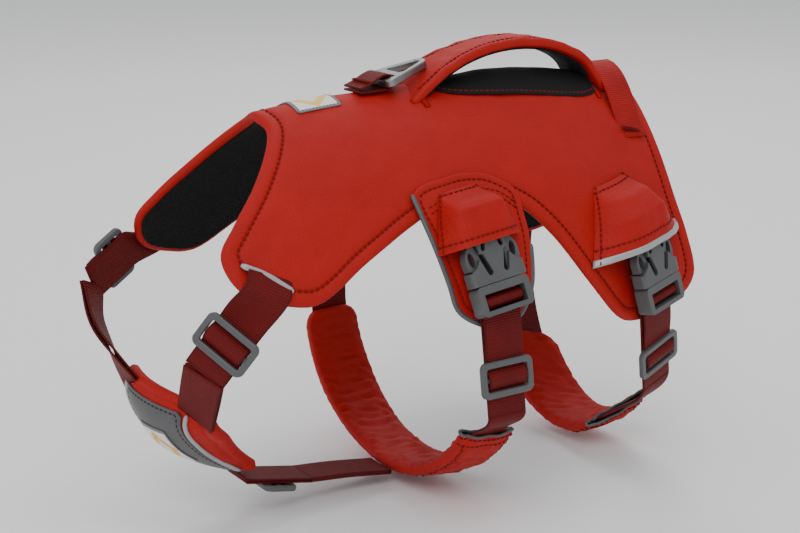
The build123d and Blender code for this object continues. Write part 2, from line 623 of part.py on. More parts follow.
if __name__ == "__main__":
    os.makedirs("parts", exist_ok=True)
    make_saddle()
    make_flap()
    make_handle()
    make_spine_loop()
    make_leash_ring()
    make_ring_loop()
    make_pockets()
    make_girth("front", FRONT_GIRTH, FRONT_BUCKLE, FRONT_SLIDER)
    make_girth("rear", REAR_GIRTH, REAR_BUCKLE, REAR_SLIDER)
    saddle_block = band(spread(-163, -95, 5), -112, 112, (LINING[0] - 0.1, 2.6), 21) & saddle_cutter(-0.4)
    make_neck_strap("left", NEAR_NECK, saddle_block)
    make_neck_strap("right", FAR_NECK, saddle_block)
    make_chest()
    make_chest_strap()
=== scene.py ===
"""No pull dog harness in its worn shape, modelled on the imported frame. Lengths are millimetres until a mesh is made."""
import math

import bpy
import numpy as np
from mathutils import Matrix, Vector
from mathutils.geometry import delaunay_2d_cdt


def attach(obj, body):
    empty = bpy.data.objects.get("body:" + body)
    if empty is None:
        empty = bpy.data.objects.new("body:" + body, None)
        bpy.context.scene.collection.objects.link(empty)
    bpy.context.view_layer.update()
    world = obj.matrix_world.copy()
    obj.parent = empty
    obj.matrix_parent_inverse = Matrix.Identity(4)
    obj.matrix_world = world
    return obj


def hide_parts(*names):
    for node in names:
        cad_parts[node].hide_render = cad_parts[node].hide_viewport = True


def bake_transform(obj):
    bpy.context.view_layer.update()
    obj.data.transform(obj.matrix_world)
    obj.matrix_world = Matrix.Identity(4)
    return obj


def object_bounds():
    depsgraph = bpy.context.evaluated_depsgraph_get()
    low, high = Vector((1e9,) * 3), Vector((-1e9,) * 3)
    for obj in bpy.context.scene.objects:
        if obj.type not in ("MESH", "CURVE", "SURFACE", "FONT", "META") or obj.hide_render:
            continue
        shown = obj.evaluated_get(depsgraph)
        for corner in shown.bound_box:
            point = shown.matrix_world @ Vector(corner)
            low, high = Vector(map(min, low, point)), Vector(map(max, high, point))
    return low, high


bl_info = {
    "name": "No Pull Harness",
    "version": (1, 0, 0),
    "blender": (4, 5, 0),
    "location": "View3D > Sidebar > Harness",
    "description": "Builds a padded no pull dog harness piece by piece on its packed frame",
    "category": "Object",
}

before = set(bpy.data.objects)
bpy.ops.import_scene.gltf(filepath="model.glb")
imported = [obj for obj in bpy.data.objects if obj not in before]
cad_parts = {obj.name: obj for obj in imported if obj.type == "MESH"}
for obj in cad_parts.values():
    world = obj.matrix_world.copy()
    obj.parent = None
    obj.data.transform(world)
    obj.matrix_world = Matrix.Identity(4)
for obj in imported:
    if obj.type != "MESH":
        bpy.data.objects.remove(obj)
CAD_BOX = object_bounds()
MM = 0.001

# ---- trunk form: x, spine height, belly height, height of the widest point, half width, fullness of back ----
TRUNK = np.array((
    (-165, 102.0, -62, -9, 71, 1.45),
    (-130, 105.0, -84, -18, 80, 1.55),
    (-60, 111.0, -108, -26, 91, 1.60),
    (0, 113.5, -114, -30, 96, 1.60),
    (60, 117.0, -114, -24, 90, 1.55),
    (128, 109.0, -113, -10, 72, 1.45),
    (170, 99.0, -104, -2, 68, 1.40),
))
BELLY_FULLNESS = 2.0

# ---- outlines in the side view: x, z ----
NECK_EDGE = [(-106.6, 107), (-106, 100), (-124, 79), (-143, 59.5), (-153.5, 45), (-147, 28)]
FRONT_LOBE = [(-127, 19.5), (-106, 18.6), (-76.5, 35.6), (-45, 51), (-20, 60), (0, 62.5), (24, 54)]
NEAR_REAR_LOBE = [(42.5, 36.5), (64, 7), (86, -18), (104, -24.5), (127, -24), (146, -18), (156, -5)]
FAR_REAR_LOBE = [(42.5, 38), (62, 19), (84, 3), (104, -3), (127, -3), (146, 1), (154, 9)]
RUMP_EDGE = [(154, 20), (151, 42), (150.4, 72), (150.5, 95), (150, 103.5)]
FLAP_OUTLINE = [(-42.5, 64), (-18.5, 71), (-2, 71.6), (10, 69), (22.5, 61), (23.5, 48), (23, 33), (19.5, 12),
                (9, -2), (-6, -5.5), (-17, -3), (-28, 4), (-33, 18), (-38, 38)]
FLAP_PIPING = [(-43, 64.5), (-39, 42.5), (-33.5, 20), (-29.5, 5), (-17, -3.5), (-6, -5.8), (9, -2.2),
               (19.7, 12), (23.2, 33)]
FLAP_SINK = (45.0, 3.6)
RECESS = [(-4, 0), (8, -15), (35, -22), (70, -24), (105, -21), (123, -12), (126, 0),
          (123, 12), (105, 21), (70, 24), (35, 22), (8, 15)]

# ---- girths, buckles, sliders, pockets ----
GIRTHS = {
    "front": dict(x=-6.0, far_top=-40.0, near_top=-72.0, buckle=(-9.0, 17.0, 8.1, 7.0),
                  slider=(-33.5, 0.7)),
    "rear": dict(x=124.0, far_top=-70.0, near_top=-97.0, buckle=(112.0, -1.0, 10.0, 12.0),
                 slider=(-48.0, 3.5)),
}
GIRTH_MIDDLE = -1.9
STRAP_END = 21.0
POCKETS = {
    "front": ((22.0, 27.0, 17.5, 7.4), (42.0, 19.0, 15.0, 7.4), (55.0, 11.5, 9.0, -5.5)),
    "rear": ((22.0, 42.0, 18.0, 7.4), (42.0, 29.0, 15.5, 7.4), (62.0, 15.0, 12.0, -8.0)),
}
NECKS = {
    "left": dict(exit=(-131, -67, 31), slider=(-152, -54.5, -1.5), tuck=(24.0, 11.0), facing=(-0.80, -0.60, 0)),
    "right": dict(exit=(-140.5, 65, 33), slider=(-162.5, 59.5, 20.5), tuck=(-29.0, 10.0), facing=(-0.62, 0.78, 0)),
}
CHEST_PAD = np.array((
    (0, -167, 40, -33, -168, 0, -37, -146, -40, -45),
    (1, -170, 32, -50, -170, 0, -54, -149, -37, -57),
    (2, -162, 23, -68, -160, 0, -72, -139, -28, -67),
    (3, -142, 16, -84, -141, 0, -86, -129, -19, -79),
    (4, -119, 12.5, -96, -118, 0, -96, -116, -12.5, -94),
), float)
CHEST_STRAP = ((-121, -98.5), (-80, -106.5), (-54, -109.0), (-26, -113.0))
HANDLE_LINE = np.array(((-16, 108.8, 20), (4, 123, 18.5), (26, 132, 15), (50, 137, 13.5), (74, 137.2, 13.5),
                        (96, 132.5, 14), (114, 122.5, 16), (127, 104.5, 17.5)))
RING_BAR = (-26.0, 0.0, 118.2)


# ---------------------------------------------------------------- the trunk form
def smooth_rows(table, at):
    """Columns of a table at places along its first column, on a smooth curve."""
    at = np.atleast_1d(np.asarray(at, float))
    keys, last = table[:, 0], len(table) - 1
    i = np.clip(np.searchsorted(keys, at, side="right") - 1, 0, last - 1)
    span = keys[i + 1] - keys[i]
    t = ((at - keys[i]) / span)[:, None]

    def slope(k):
        low, high = np.maximum(k - 1, 0), np.minimum(k + 1, last)
        return (table[high, 1:] - table[low, 1:]) / (keys[high] - keys[low])[:, None] * span[:, None]

    a, b = table[i, 1:], table[i + 1, 1:]
    return a + (b - a) * (3 * t**2 - 2 * t**3) + slope(i) * (t**3 - 2 * t**2 + t) + slope(i + 1) * (t**3 - t**2)


def section(x, angles):
    """y and z of the form at one x, for angles in radians from the spine, positive on the right."""
    spine, belly, middle, half, fullness = smooth_rows(TRUNK, x)[0]
    s, c = np.sin(angles), np.cos(angles)
    power = np.where(c >= 0, 2 / fullness, 2 / BELLY_FULLNESS)
    y = half * np.copysign(np.abs(s)**power, s)
    return y, middle + np.where(c >= 0, spine - middle, belly - middle) * np.abs(c)**power


FORM_X = np.arange(-180.0, 181.0, 1.0)
FORM_ARC = np.arange(-480.0, 481.0, 1.0)
FORM_ANGLE = np.radians(np.arange(-270.0, 270.5, 0.5))


def tabulate_form():
    """y, z and the outward y, z of the form against x and the length round from the spine."""
    table = np.zeros((len(FORM_X), len(FORM_ARC), 4))
    step = math.radians(1)
    zero = len(FORM_ANGLE) // 2
    for i, x in enumerate(FORM_X):
        y, z = section(x, FORM_ANGLE)
        (y0, z0), (y1, z1) = section(x, FORM_ANGLE - step), section(x, FORM_ANGLE + step)
        size = np.hypot(y1 - y0, z1 - z0)
        arc = np.concatenate(([0.0], np.cumsum(np.hypot(np.diff(y), np.diff(z)))))
        arc -= arc[zero]
        for k, values in enumerate((y, z, (z0 - z1) / size, (y1 - y0) / size)):
            table[i, :, k] = np.interp(FORM_ARC, arc, values)
    return table


FORM = tabulate_form()


def on_form(x, arc):
    """Points and outward directions of the form."""
    x, arc = np.asarray(x, float), np.asarray(arc, float)
    fx = np.clip(x - FORM_X[0], 0, len(FORM_X) - 1.001)
    fa = np.clip(arc - FORM_ARC[0], 0, len(FORM_ARC) - 1.001)
    i, j = fx.astype(int), fa.astype(int)
    u, v = (fx - i)[:, None], (fa - j)[:, None]
    row = (FORM[i, j] * (1 - u) + FORM[i + 1, j] * u) * (1 - v) + (FORM[i, j + 1] * (1 - u) + FORM[i + 1, j + 1] * u) * v
    points = np.column_stack((x, row[:, 0], row[:, 1]))
    normals = np.column_stack((np.zeros(len(x)), row[:, 2], row[:, 3]))
    return points, normals / np.linalg.norm(normals, axis=1)[:, None]


def arc_at(x, z, side=-1, below=False):
    """Length round from the spine to height z at x; below counts on under the belly to the far side of it."""
    row = FORM[int(np.clip(round(x) - FORM_X[0], 0, len(FORM_X) - 1))]
    arcs = FORM_ARC[(FORM_ARC >= 0) & (FORM_ARC < 400)]
    half = row[(FORM_ARC >= 0) & (FORM_ARC < 400)]
    turn = int(np.argmin(half[:, 1]))
    arc = float(np.interp(-z, -half[:turn + 1, 1], arcs[:turn + 1]))
    if below:
        arc = 2 * arcs[turn] - arc
    return side * arc


def to_form(points, side=-1):
    """Side view points as x and length round the form."""
    return np.array([(x, arc_at(x, z, side)) for x, z in points])


def plan_to_form(points):
    """Points of a view from above as x and length round the form."""
    out = []
    for x, y in points:
        row = FORM[int(round(x) - FORM_X[0])]
        near = np.abs(FORM_ARC) < 60
        out.append((x, float(np.interp(y, row[near, 0], FORM_ARC[near]))))
    return np.array(out)


def smooth_line(points, step=2.5, closed=False):
    """Points evenly spaced along a smooth curve through the given ones."""
    p = np.asarray(points, float)
    if closed:
        p = np.vstack((p[-1:], p, p[:2]))
    else:
        p = np.vstack((2 * p[0] - p[1], p, 2 * p[-1] - p[-2]))
    dense = []
    t = np.linspace(0, 1, 24, endpoint=False)[:, None]
    for k in range(1, len(p) - 2):
        a, b, c, d = p[k - 1:k + 3]
        dense.append(0.5 * (2 * b + (c - a) * t + (2 * a - 5 * b + 4 * c - d) * t**2 + (3 * b - a - 3 * c + d) * t**3))
    dense = np.vstack(dense + [p[-2][None]])
    length = np.concatenate(([0], np.cumsum(np.linalg.norm(np.diff(dense, axis=0), axis=1))))
    count = max(int(round(length[-1] / step)), 3) + 1
    marks = np.linspace(0, length[-1], count)
    line = np.column_stack([np.interp(marks, length, dense[:, k]) for k in range(dense.shape[1])])
    return line[:-1] if closed else line


def set_size(name):
    """A size from the settings, in millimetres."""
    return round(getattr(bpy.context.scene.harness_sizes, name) / MM, 4)


def ripple(a, b, size, seed, stretch=1.0):
    """Smooth uneven waves between about -1 and 1, of a size in millimetres, longer across than along by stretch."""
    rng = np.random.default_rng(seed)
    total = np.zeros(len(a))
    for turn, phase, scale in rng.uniform((0, 0, 0.6), (math.pi, 2 * math.pi, 1.6), (14, 3)):
        total += np.sin((a / stretch * math.cos(turn) + b * math.sin(turn)) * 2 * math.pi / (size * scale) + phase)
    return total / 5.0


# ---------------------------------------------------------------- meshes
def new_object(name, points, faces, uv=None, smooth=True):
    """Object at the origin from points in millimetres; uv holds one pair in millimetres for each point."""
    mesh = bpy.data.meshes.new(name)
    mesh.from_pydata([tuple(p) for p in np.asarray(points) * MM], [], [tuple(f) for f in faces])
    if uv is not None:
        layer = mesh.uv_layers.new(name="Cloth")
        index = np.zeros(len(mesh.loops), int)
        mesh.loops.foreach_get("vertex_index", index)
        layer.data.foreach_set("uv", (np.asarray(uv) * MM)[index].astype(np.float32).ravel())
    if smooth:
        mesh.polygons.foreach_set("use_smooth", [True] * len(mesh.polygons))
    mesh.update()
    piece = bpy.data.objects.new(name, mesh)
    bpy.context.collection.objects.link(piece)
    return piece


def paint(piece, material):
    """Gives a piece one finish."""
    piece.data.materials.clear()
    piece.data.materials.append(material)
    return piece


def fit(piece, material, body="harness", stands_for=()):
    """Finishes a piece: its material, the body it rides on and the plain solids it stands for."""
    paint(piece, material)
    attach(piece, body)
    if stands_for:
        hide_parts(*stands_for)
    return piece


def distance_to(outline, points):
    """Distance from each point to a closed outline, and whether it is inside."""
    a, b = outline, np.roll(outline, -1, axis=0)
    best = np.full(len(points), 1e9)
    inside = np.zeros(len(points), bool)
    for p, q in zip(a, b):
        side = q - p
        t = np.clip(((points - p) @ side) / max(side @ side, 1e-9), 0, 1)
        best = np.minimum(best, np.linalg.norm(points - p - t[:, None] * side, axis=1))
        crosses = (p[1] > points[:, 1]) != (q[1] > points[:, 1])
        if q[1] != p[1]:
            inside ^= crosses & (points[:, 0] < p[0] + (points[:, 1] - p[1]) * (q[0] - p[0]) / (q[1] - p[1]))
    return best, inside


def inward(outline, distance, margin=0.94):
    """The outline moved inwards, without the points that would crowd in its hollows; also which points stay."""
    along = np.roll(outline, -1, axis=0) - np.roll(outline, 1, axis=0)
    along /= np.linalg.norm(along, axis=1)[:, None]
    area = np.sum(outline[:, 0] * np.roll(outline[:, 1], -1) - np.roll(outline[:, 0], -1) * outline[:, 1])
    side = np.column_stack((-along[:, 1], along[:, 0])) * np.sign(area)
    moved = outline + side * distance
    far, inside = distance_to(outline, moved)
    keep = inside & (far > distance * margin)
    return moved[keep], keep


def cloth_piece(name, outline, surface, outer, inner, rings=(0.5, 1.2, 2.2, 3.4), step=3.0):
    """Closed cushion-like shell with a smooth outline; outer and inner give lifts from edge distance and place."""
    grid_low, grid_high = outline.min(0), outline.max(0)
    ga, gb = np.meshgrid(np.arange(grid_low[0], grid_high[0], step), np.arange(grid_low[1], grid_high[1], step))
    ga = ga + (np.arange(ga.shape[0]) % 2)[:, None] * step / 2
    grid = np.column_stack((ga.ravel(), gb.ravel()))
    far, inside = distance_to(outline, grid)
    parts = [outline, grid[inside & (far > max(rings) + step * 0.55)]]
    parts += [inward(outline, r)[0] for r in rings]
    points = np.vstack([p for p in parts if len(p)])
    count = len(outline)
    edges = [(k, (k + 1) % count) for k in range(count)]
    verts, _, tris, origin, _, _ = delaunay_2d_cdt([Vector(p) for p in points], edges, [list(range(count))], 1, 0.02)
    flat = np.array([tuple(v) for v in verts])
    on_edge, _ = distance_to(outline, flat)
    on_edge[on_edge < 0.02] = 0.0
    base, normal = surface(flat[:, 0], flat[:, 1])
    top = base + normal * outer(on_edge, flat[:, 0], flat[:, 1])[:, None]
    low = base + normal * inner(on_edge, flat[:, 0], flat[:, 1])[:, None]
    rim = on_edge == 0.0
    under = np.where(rim, np.arange(len(flat)), 0)
    under[~rim] = len(flat) + np.arange((~rim).sum())
    tris = np.array([t[:3] for t in tris])
    p, q, r = (top[tris[:, k]] for k in range(3))
    if np.sum(np.cross(q - p, r - p) * normal[tris[:, 0]]) < 0:
        tris = tris[:, ::-1]
    back = under[tris][:, ::-1]
    back = back[~np.all(rim[tris], axis=1)]
    faces = np.vstack((tris, back))
    piece = new_object(name, np.vstack((top, low[~rim])), faces, np.vstack((flat, flat[~rim])))
    return piece


def rolled(top, bottom, radius, groove=0.0, at=8.0, puff=0.0, reach=14.0):
    """Lift functions of a padded layer: rounded rim, a sewn groove inside it and a soft crown beyond."""
    middle, half = (top + bottom) / 2, (top - bottom) / 2

    def bow(d):
        return np.sqrt(np.clip(1 - (1 - np.clip(d / radius, 0, 1))**2, 0, 1))

    def outer(d, a, b):
        sunk = groove * np.exp(-((d - at) / 1.1)**2)
        crown = puff * (1 - np.exp(-np.clip(d - at, 0, None) / reach))
        return middle + half * bow(d) - sunk + crown

    def inner(d, a, b):
        return middle - half * bow(d)

    return outer, inner


def lofted(name, rings, closed_ends=True, uv=None):
    """Tube through rings of points, all with the same count."""
    rings = np.asarray(rings, float)
    rows, count = rings.shape[:2]
    points = rings.reshape(-1, 3)
    faces = []
    for i in range(rows - 1):
        for j in range(count):
            k = (j + 1) % count
            faces.append((i * count + j, i * count + k, (i + 1) * count + k, (i + 1) * count + j))
    if closed_ends:
        faces += [tuple(range(count))[::-1], tuple(range((rows - 1) * count, rows * count))]
    piece = new_object(name, points, faces, uv)
    outward_faces(piece)
    return piece


def outward_faces(piece):
    """Turns all faces outwards."""
    bpy.ops.object.select_all(action="DESELECT")
    bpy.context.view_layer.objects.active = piece
    piece.select_set(True)
    bpy.ops.object.mode_set(mode="EDIT")
    bpy.ops.mesh.select_all(action="SELECT")
    bpy.ops.mesh.normals_make_consistent(inside=False)
    bpy.ops.object.mode_set(mode="OBJECT")
    piece.select_set(False)


def apply_all(piece):
    """Applies every modifier of a piece."""
    bpy.ops.object.select_all(action="DESELECT")
    bpy.context.view_layer.objects.active = piece
    piece.select_set(True)
    for modifier in list(piece.modifiers):
        bpy.ops.object.modifier_apply(modifier=modifier.name)
    piece.select_set(False)


def webbing(name, line, across, normals, width=None, thick=None, offset=0.0):
    """Flat woven strap along a line, with rounded selvedges; UV runs across and along in millimetres."""
    width, thick = width or set_size("webbing_width"), thick or set_size("webbing_thickness")
    line, across, normals = (np.asarray(v, float) for v in (line, across, normals))
    across = across / np.linalg.norm(across, axis=1)[:, None]
    normals = normals / np.linalg.norm(normals, axis=1)[:, None]
    flat = np.array([-1, -0.985, -0.94, -0.88, -0.6, -0.3, 0, 0.3, 0.6, 0.88, 0.94, 0.985, 1])
    full = np.array([0.0, 0.62, 1.0, 1.06, 0.96, 0.94, 0.93, 0.94, 0.96, 1.06, 1.0, 0.62, 0.0])
    u = np.concatenate((flat, flat[-2:0:-1])) * width / 2
    n = np.concatenate((full, -full[-2:0:-1])) * thick / 2 + offset
    length = np.concatenate(([0], np.cumsum(np.linalg.norm(np.diff(line, axis=0), axis=1))))
    rings = line[:, None] + across[:, None] * u[None, :, None] + normals[:, None] * n[None, :, None]
    uv = np.array([(side, along) for along in length for side in u])
    return lofted(name, rings, True, uv)


def path_normals(line, across):
    """Outward directions of a strap from its line and the direction across it."""
    along = np.gradient(np.asarray(line, float), axis=0)
    across = np.broadcast_to(np.asarray(across, float), along.shape)
    return np.cross(across, along)


def straight_webbing(name, top, bottom, outwards, width=None, thick=None, bow=0.0):
    """Strap between two points, with its face turned outwards, bowed out a little in its middle."""
    top, bottom, outwards = (np.asarray(v, float) for v in (top, bottom, outwards))
    up = (top - bottom) / np.linalg.norm(top - bottom)
    across = np.cross(up, outwards)
    across /= np.linalg.norm(across)
    out = np.cross(across, up)
    t = np.linspace(0, 1, 14)[:, None]
    line = top + (bottom - top) * t + out * bow * np.sin(math.pi * t)
    return webbing(name, line, np.repeat(across[None], 14, 0), np.repeat(out[None], 14, 0), width, thick)


def stitches(name, rows, material, body="harness", pitch=None, long=None, thick=None):
    """Runs of short stitches; each row is a pair of arrays, points in millimetres and outward directions."""
    pitch, long = pitch or set_size("stitch_pitch"), long or set_size("stitch_length")
    thick = thick or set_size("thread_radius")
    ring = np.linspace(0, 2 * math.pi, 6, endpoint=False)
    shape = ((-0.5, 0.25), (-0.36, 1.0), (0.36, 1.0), (0.5, 0.25))
    points, faces = [], []
    for line, normals in rows:
        length = np.concatenate(([0], np.cumsum(np.linalg.norm(np.diff(line, axis=0), axis=1))))
        marks = np.arange(pitch / 2, length[-1], pitch)
        at = np.column_stack([np.interp(marks, length, line[:, k]) for k in range(3)])
        ahead = np.column_stack([np.interp(marks + 0.4, length, line[:, k]) for k in range(3)])
        behind = np.column_stack([np.interp(marks - 0.4, length, line[:, k]) for k in range(3)])
        up = np.column_stack([np.interp(marks, length, normals[:, k]) for k in range(3)])
        for p, way, n in zip(at, ahead - behind, up):
            way = way / max(np.linalg.norm(way), 1e-6)
            side = np.cross(way, n)
            side /= max(np.linalg.norm(side), 1e-6)
            n = np.cross(side, way)
            start = len(points)
            for along, size in shape:
                for a in ring:
                    points.append(p + way * along * long + (side * math.cos(a) * 1.25 + n * math.sin(a)) * size * thick)
            for i in range(3):
                for j in range(6):
                    k = (j + 1) % 6
                    faces.append((start + i * 6 + j, start + i * 6 + k, start + i * 6 + 6 + k, start + i * 6 + 6 + j))
            faces.append(tuple(range(start, start + 6))[::-1])
            faces.append(tuple(range(start + 18, start + 24)))
    piece = new_object(name, points, faces)
    outward_faces(piece)
    return fit(piece, material, body)


def form_row(path, lift):
    """Stitch row on the form from x and arc places."""
    base, normal = on_form(path[:, 0], path[:, 1])
    lifts = lift(path) if callable(lift) else lift
    return base + normal * np.reshape(lifts, (-1, 1)), normal


def split_runs(outline, distance):
    """The inward line of an outline as separate runs, so that no stitch jumps a gap."""
    moved, keep = inward(outline, distance, 0.97)
    gaps = np.linalg.norm(np.diff(moved, axis=0), axis=1)
    runs, start = [], 0
    for k, gap in enumerate(gaps):
        if gap > 7.0:
            runs.append(moved[start:k + 1])
            start = k + 1
    runs.append(moved[start:])
    if len(runs) == 1 and np.linalg.norm(moved[0] - moved[-1]) < 7.0:
        runs[0] = np.vstack((runs[0], moved[:1]))
    return [r for r in runs if len(r) > 2]


def tube(name, line, radius, sides=10, flat=1.0, normals=None):
    """Round piping along a line."""
    line = np.asarray(line, float)
    along = np.gradient(line, axis=0)
    along /= np.linalg.norm(along, axis=1)[:, None]
    n = normals if normals is not None else np.repeat([[0.0, -1.0, 0.0]], len(line), 0)
    side = np.cross(along, n)
    side /= np.linalg.norm(side, axis=1)[:, None]
    n = np.cross(side, along)
    a = np.linspace(0, 2 * math.pi, sides, endpoint=False)
    size = np.ones(len(line))
    size[[0, -1]] = 0.55
    rings = (line[:, None] + side[:, None] * (np.cos(a) * radius)[None, :, None] * size[:, None, None]
             + n[:, None] * (np.sin(a) * radius * flat)[None, :, None] * size[:, None, None])
    length = np.concatenate(([0], np.cumsum(np.linalg.norm(np.diff(line, axis=0), axis=1))))
    uv = np.array([(k * radius * 0.6, s) for s in length for k in range(sides)])
    return lofted(name, rings, True, uv)


# ---------------------------------------------------------------- finishes
def add(tree, kind, setup=None, **inputs):
    """New node; setup sets its options, inputs its sockets, either to values or to other nodes' outputs."""
    node = tree.nodes.new(kind)
    for key, value in (setup or {}).items():
        setattr(node, key, value)
    for key, value in inputs.items():
        socket = node.inputs[int(key[1:])] if key[0] == "i" and key[1:].isdigit() else node.inputs[key.replace("_", " ")]
        if isinstance(value, bpy.types.NodeSocket):
            tree.links.new(value, socket)
        else:
            socket.default_value = value
    return node


def maths(tree, operation, a, b=0.0):
    return add(tree, "ShaderNodeMath", {"operation": operation}, i0=a, i1=b).outputs[0]


def blank(name, **sockets):
    """Material with its surface node's own sockets set; returns it with its tree, surface node and output."""
    material = bpy.data.materials.new(name)
    material.use_nodes = True
    tree = material.node_tree
    surface = tree.nodes["Principled BSDF"]
    for key, value in sockets.items():
        surface.inputs[key.replace("_", " ")].default_value = value
    return material, tree, surface


def bumped(tree, surface, height, strength, distance, below=None):
    """Adds a height to a surface's relief."""
    node = add(tree, "ShaderNodeBump", None, Strength=strength, Distance=distance, Height=height)
    if below is not None:
        tree.links.new(below, node.inputs["Normal"])
    tree.links.new(node.outputs[0], surface.inputs["Normal"])
    return node.outputs[0]


def lines(tree, coordinate, period):
    """Soft ridges from 0 to 1 along a coordinate in metres."""
    turned = maths(tree, "MULTIPLY", coordinate, 2 * math.pi / period)
    return maths(tree, "MULTIPLY_ADD", maths(tree, "SINE", turned), 0.5)


def mixed(tree, factor, one, two):
    node = tree.nodes.new("ShaderNodeMix")
    node.data_type = "RGBA"
    for socket, value in ((node.inputs[0], factor), (node.inputs[6], one), (node.inputs[7], two)):
        if isinstance(value, bpy.types.NodeSocket):
            tree.links.new(value, socket)
        else:
            socket.default_value = value
    return node.outputs[2]


def shade_of(colour, factor):
    return tuple(min(c * factor, 1.0) for c in colour[:3]) + (1.0,)


def cloth_places(tree):
    uv = add(tree, "ShaderNodeUVMap", {"uv_map": "Cloth"}).outputs[0]
    parts = add(tree, "ShaderNodeSeparateXYZ", None, i0=uv)
    return uv, parts.outputs[0], parts.outputs[1]


def ripstop(name, colour, roughness=0.62):
    """Plain woven cloth with a fine grid of thicker threads, a little uneven in tone."""
    material, tree, surface = blank(name, Roughness=roughness, Specular_IOR_Level=0.2)
    uv, u, v = cloth_places(tree)
    place = add(tree, "ShaderNodeTexCoord").outputs["Object"]
    tone = add(tree, "ShaderNodeTexNoise", None, Vector=place, Scale=38.0, Detail=5.0, Roughness=0.6).outputs[0]
    body = mixed(tree, tone, shade_of(colour, 0.84), shade_of(colour, 1.14))
    grid = [maths(tree, "POWER", lines(tree, c, 0.0023), 7.0) for c in (u, v)]
    thick = maths(tree, "MAXIMUM", grid[0], grid[1])
    specks = add(tree, "ShaderNodeTexNoise", None, Vector=uv, Scale=1500.0, Detail=2.0).outputs[0]
    body = mixed(tree, maths(tree, "MULTIPLY", thick, 0.2), body, shade_of(colour, 0.62))
    body = mixed(tree, maths(tree, "MULTIPLY", specks, 0.22), body, shade_of(colour, 0.55))
    tree.links.new(body, surface.inputs["Base Color"])
    weave = maths(tree, "MULTIPLY", lines(tree, u, 0.00062), lines(tree, v, 0.00062))
    one = bumped(tree, surface, weave, 0.35, 0.00012)
    two = bumped(tree, surface, thick, 0.3, 0.00012, one)
    creases = add(tree, "ShaderNodeTexNoise", {"noise_dimensions": "3D"}, Vector=place, Scale=42.0, Detail=3.0,
                  Roughness=0.5, Distortion=0.8).outputs[0]
    bumped(tree, surface, creases, 0.55, 0.0016, two)
    return material


def ribbed_webbing(name, colour):
    """Flat webbing with ribs across it, with painted shade in the grooves between the ribs, darker along the selvedges.
    """
    material, tree, surface = blank(name, Roughness=0.6, Specular_IOR_Level=0.2)
    uv, u, v = cloth_places(tree)
    ribs = lines(tree, v, 0.0014)
    cords = lines(tree, maths(tree, "ADD", u, maths(tree, "MULTIPLY", ribs, 0.0003)), 0.0009)
    place = add(tree, "ShaderNodeTexCoord").outputs["Object"]
    tone = add(tree, "ShaderNodeTexNoise", None, Vector=place, Scale=90.0, Detail=4.0).outputs[0]
    body = mixed(tree, tone, shade_of(colour, 0.72), shade_of(colour, 1.25))
    # Painted shade: the grooves between the ribs, where the rib relief is low, are darkened.
    body = mixed(tree, maths(tree, "MULTIPLY", maths(tree, "SUBTRACT", 1.0, ribs), 0.55), body, shade_of(colour, 0.35))
    rim = maths(tree, "GREATER_THAN", maths(tree, "ABSOLUTE", u), 0.0112)
    body = mixed(tree, maths(tree, "MULTIPLY", rim, 0.55), body, shade_of(colour, 0.4))
    tree.links.new(body, surface.inputs["Base Color"])
    one = bumped(tree, surface, maths(tree, "MULTIPLY", ribs, maths(tree, "MULTIPLY_ADD", cords, 0.3)), 0.8, 0.0005)
    bumped(tree, surface, cords, 0.3, 0.00015, one)
    return material


def air_mesh(name, colour):
    """Knitted lining with rows of small holes, painted darker inside as painted shade."""
    material, tree, surface = blank(name, Roughness=0.85, Specular_IOR_Level=0.15)
    uv, u, v = cloth_places(tree)
    holes = add(tree, "ShaderNodeTexVoronoi", {"feature": "F1"}, Vector=uv, Scale=620.0, Randomness=0.25).outputs[0]
    open_part = add(tree, "ShaderNodeMapRange", None, i0=holes, i1=0.25, i2=0.45, i3=0.0, i4=1.0).outputs[0]
    # Painted shade: the holes of the knit are painted much darker than the threads round them.
    tree.links.new(mixed(tree, open_part, shade_of(colour, 0.35), shade_of(colour, 1.35)), surface.inputs["Base Color"])
    bumped(tree, surface, open_part, 0.7, 0.0004)
    return material


def reflective(name, colour, roughness=0.36):
    """Tape faced with fine glass beads."""
    material, tree, surface = blank(name, Roughness=roughness, Specular_IOR_Level=0.6, Metallic=0.25)
    place = add(tree, "ShaderNodeTexCoord").outputs["Object"]
    beads = add(tree, "ShaderNodeTexVoronoi", None, Vector=place, Scale=2400.0).outputs[0]
    tone = add(tree, "ShaderNodeTexNoise", None, Vector=place, Scale=120.0, Detail=4.0).outputs[0]
    body = mixed(tree, tone, shade_of(colour, 0.8), shade_of(colour, 1.15))
    tree.links.new(body, surface.inputs["Base Color"])
    bumped(tree, surface, beads, 0.3, 0.0001)
    return material


def moulded(name, colour, roughness=0.4):
    """Moulded plastic with a fine satin grain and slightly worn tone."""
    material, tree, surface = blank(name, Specular_IOR_Level=0.5)
    place = add(tree, "ShaderNodeTexCoord").outputs["Object"]
    grain = add(tree, "ShaderNodeTexNoise", None, Vector=place, Scale=1900.0, Detail=3.0).outputs[0]
    cloud = add(tree, "ShaderNodeTexNoise", None, Vector=place, Scale=70.0, Detail=5.0).outputs[0]
    tree.links.new(mixed(tree, cloud, shade_of(colour, 0.88), shade_of(colour, 1.1)), surface.inputs["Base Color"])
    rough = add(tree, "ShaderNodeMapRange", None, i0=cloud, i1=0.3, i2=0.7, i3=roughness - 0.06, i4=roughness + 0.08)
    tree.links.new(rough.outputs[0], surface.inputs["Roughness"])
    bumped(tree, surface, grain, 0.18, 0.00012)
    return material


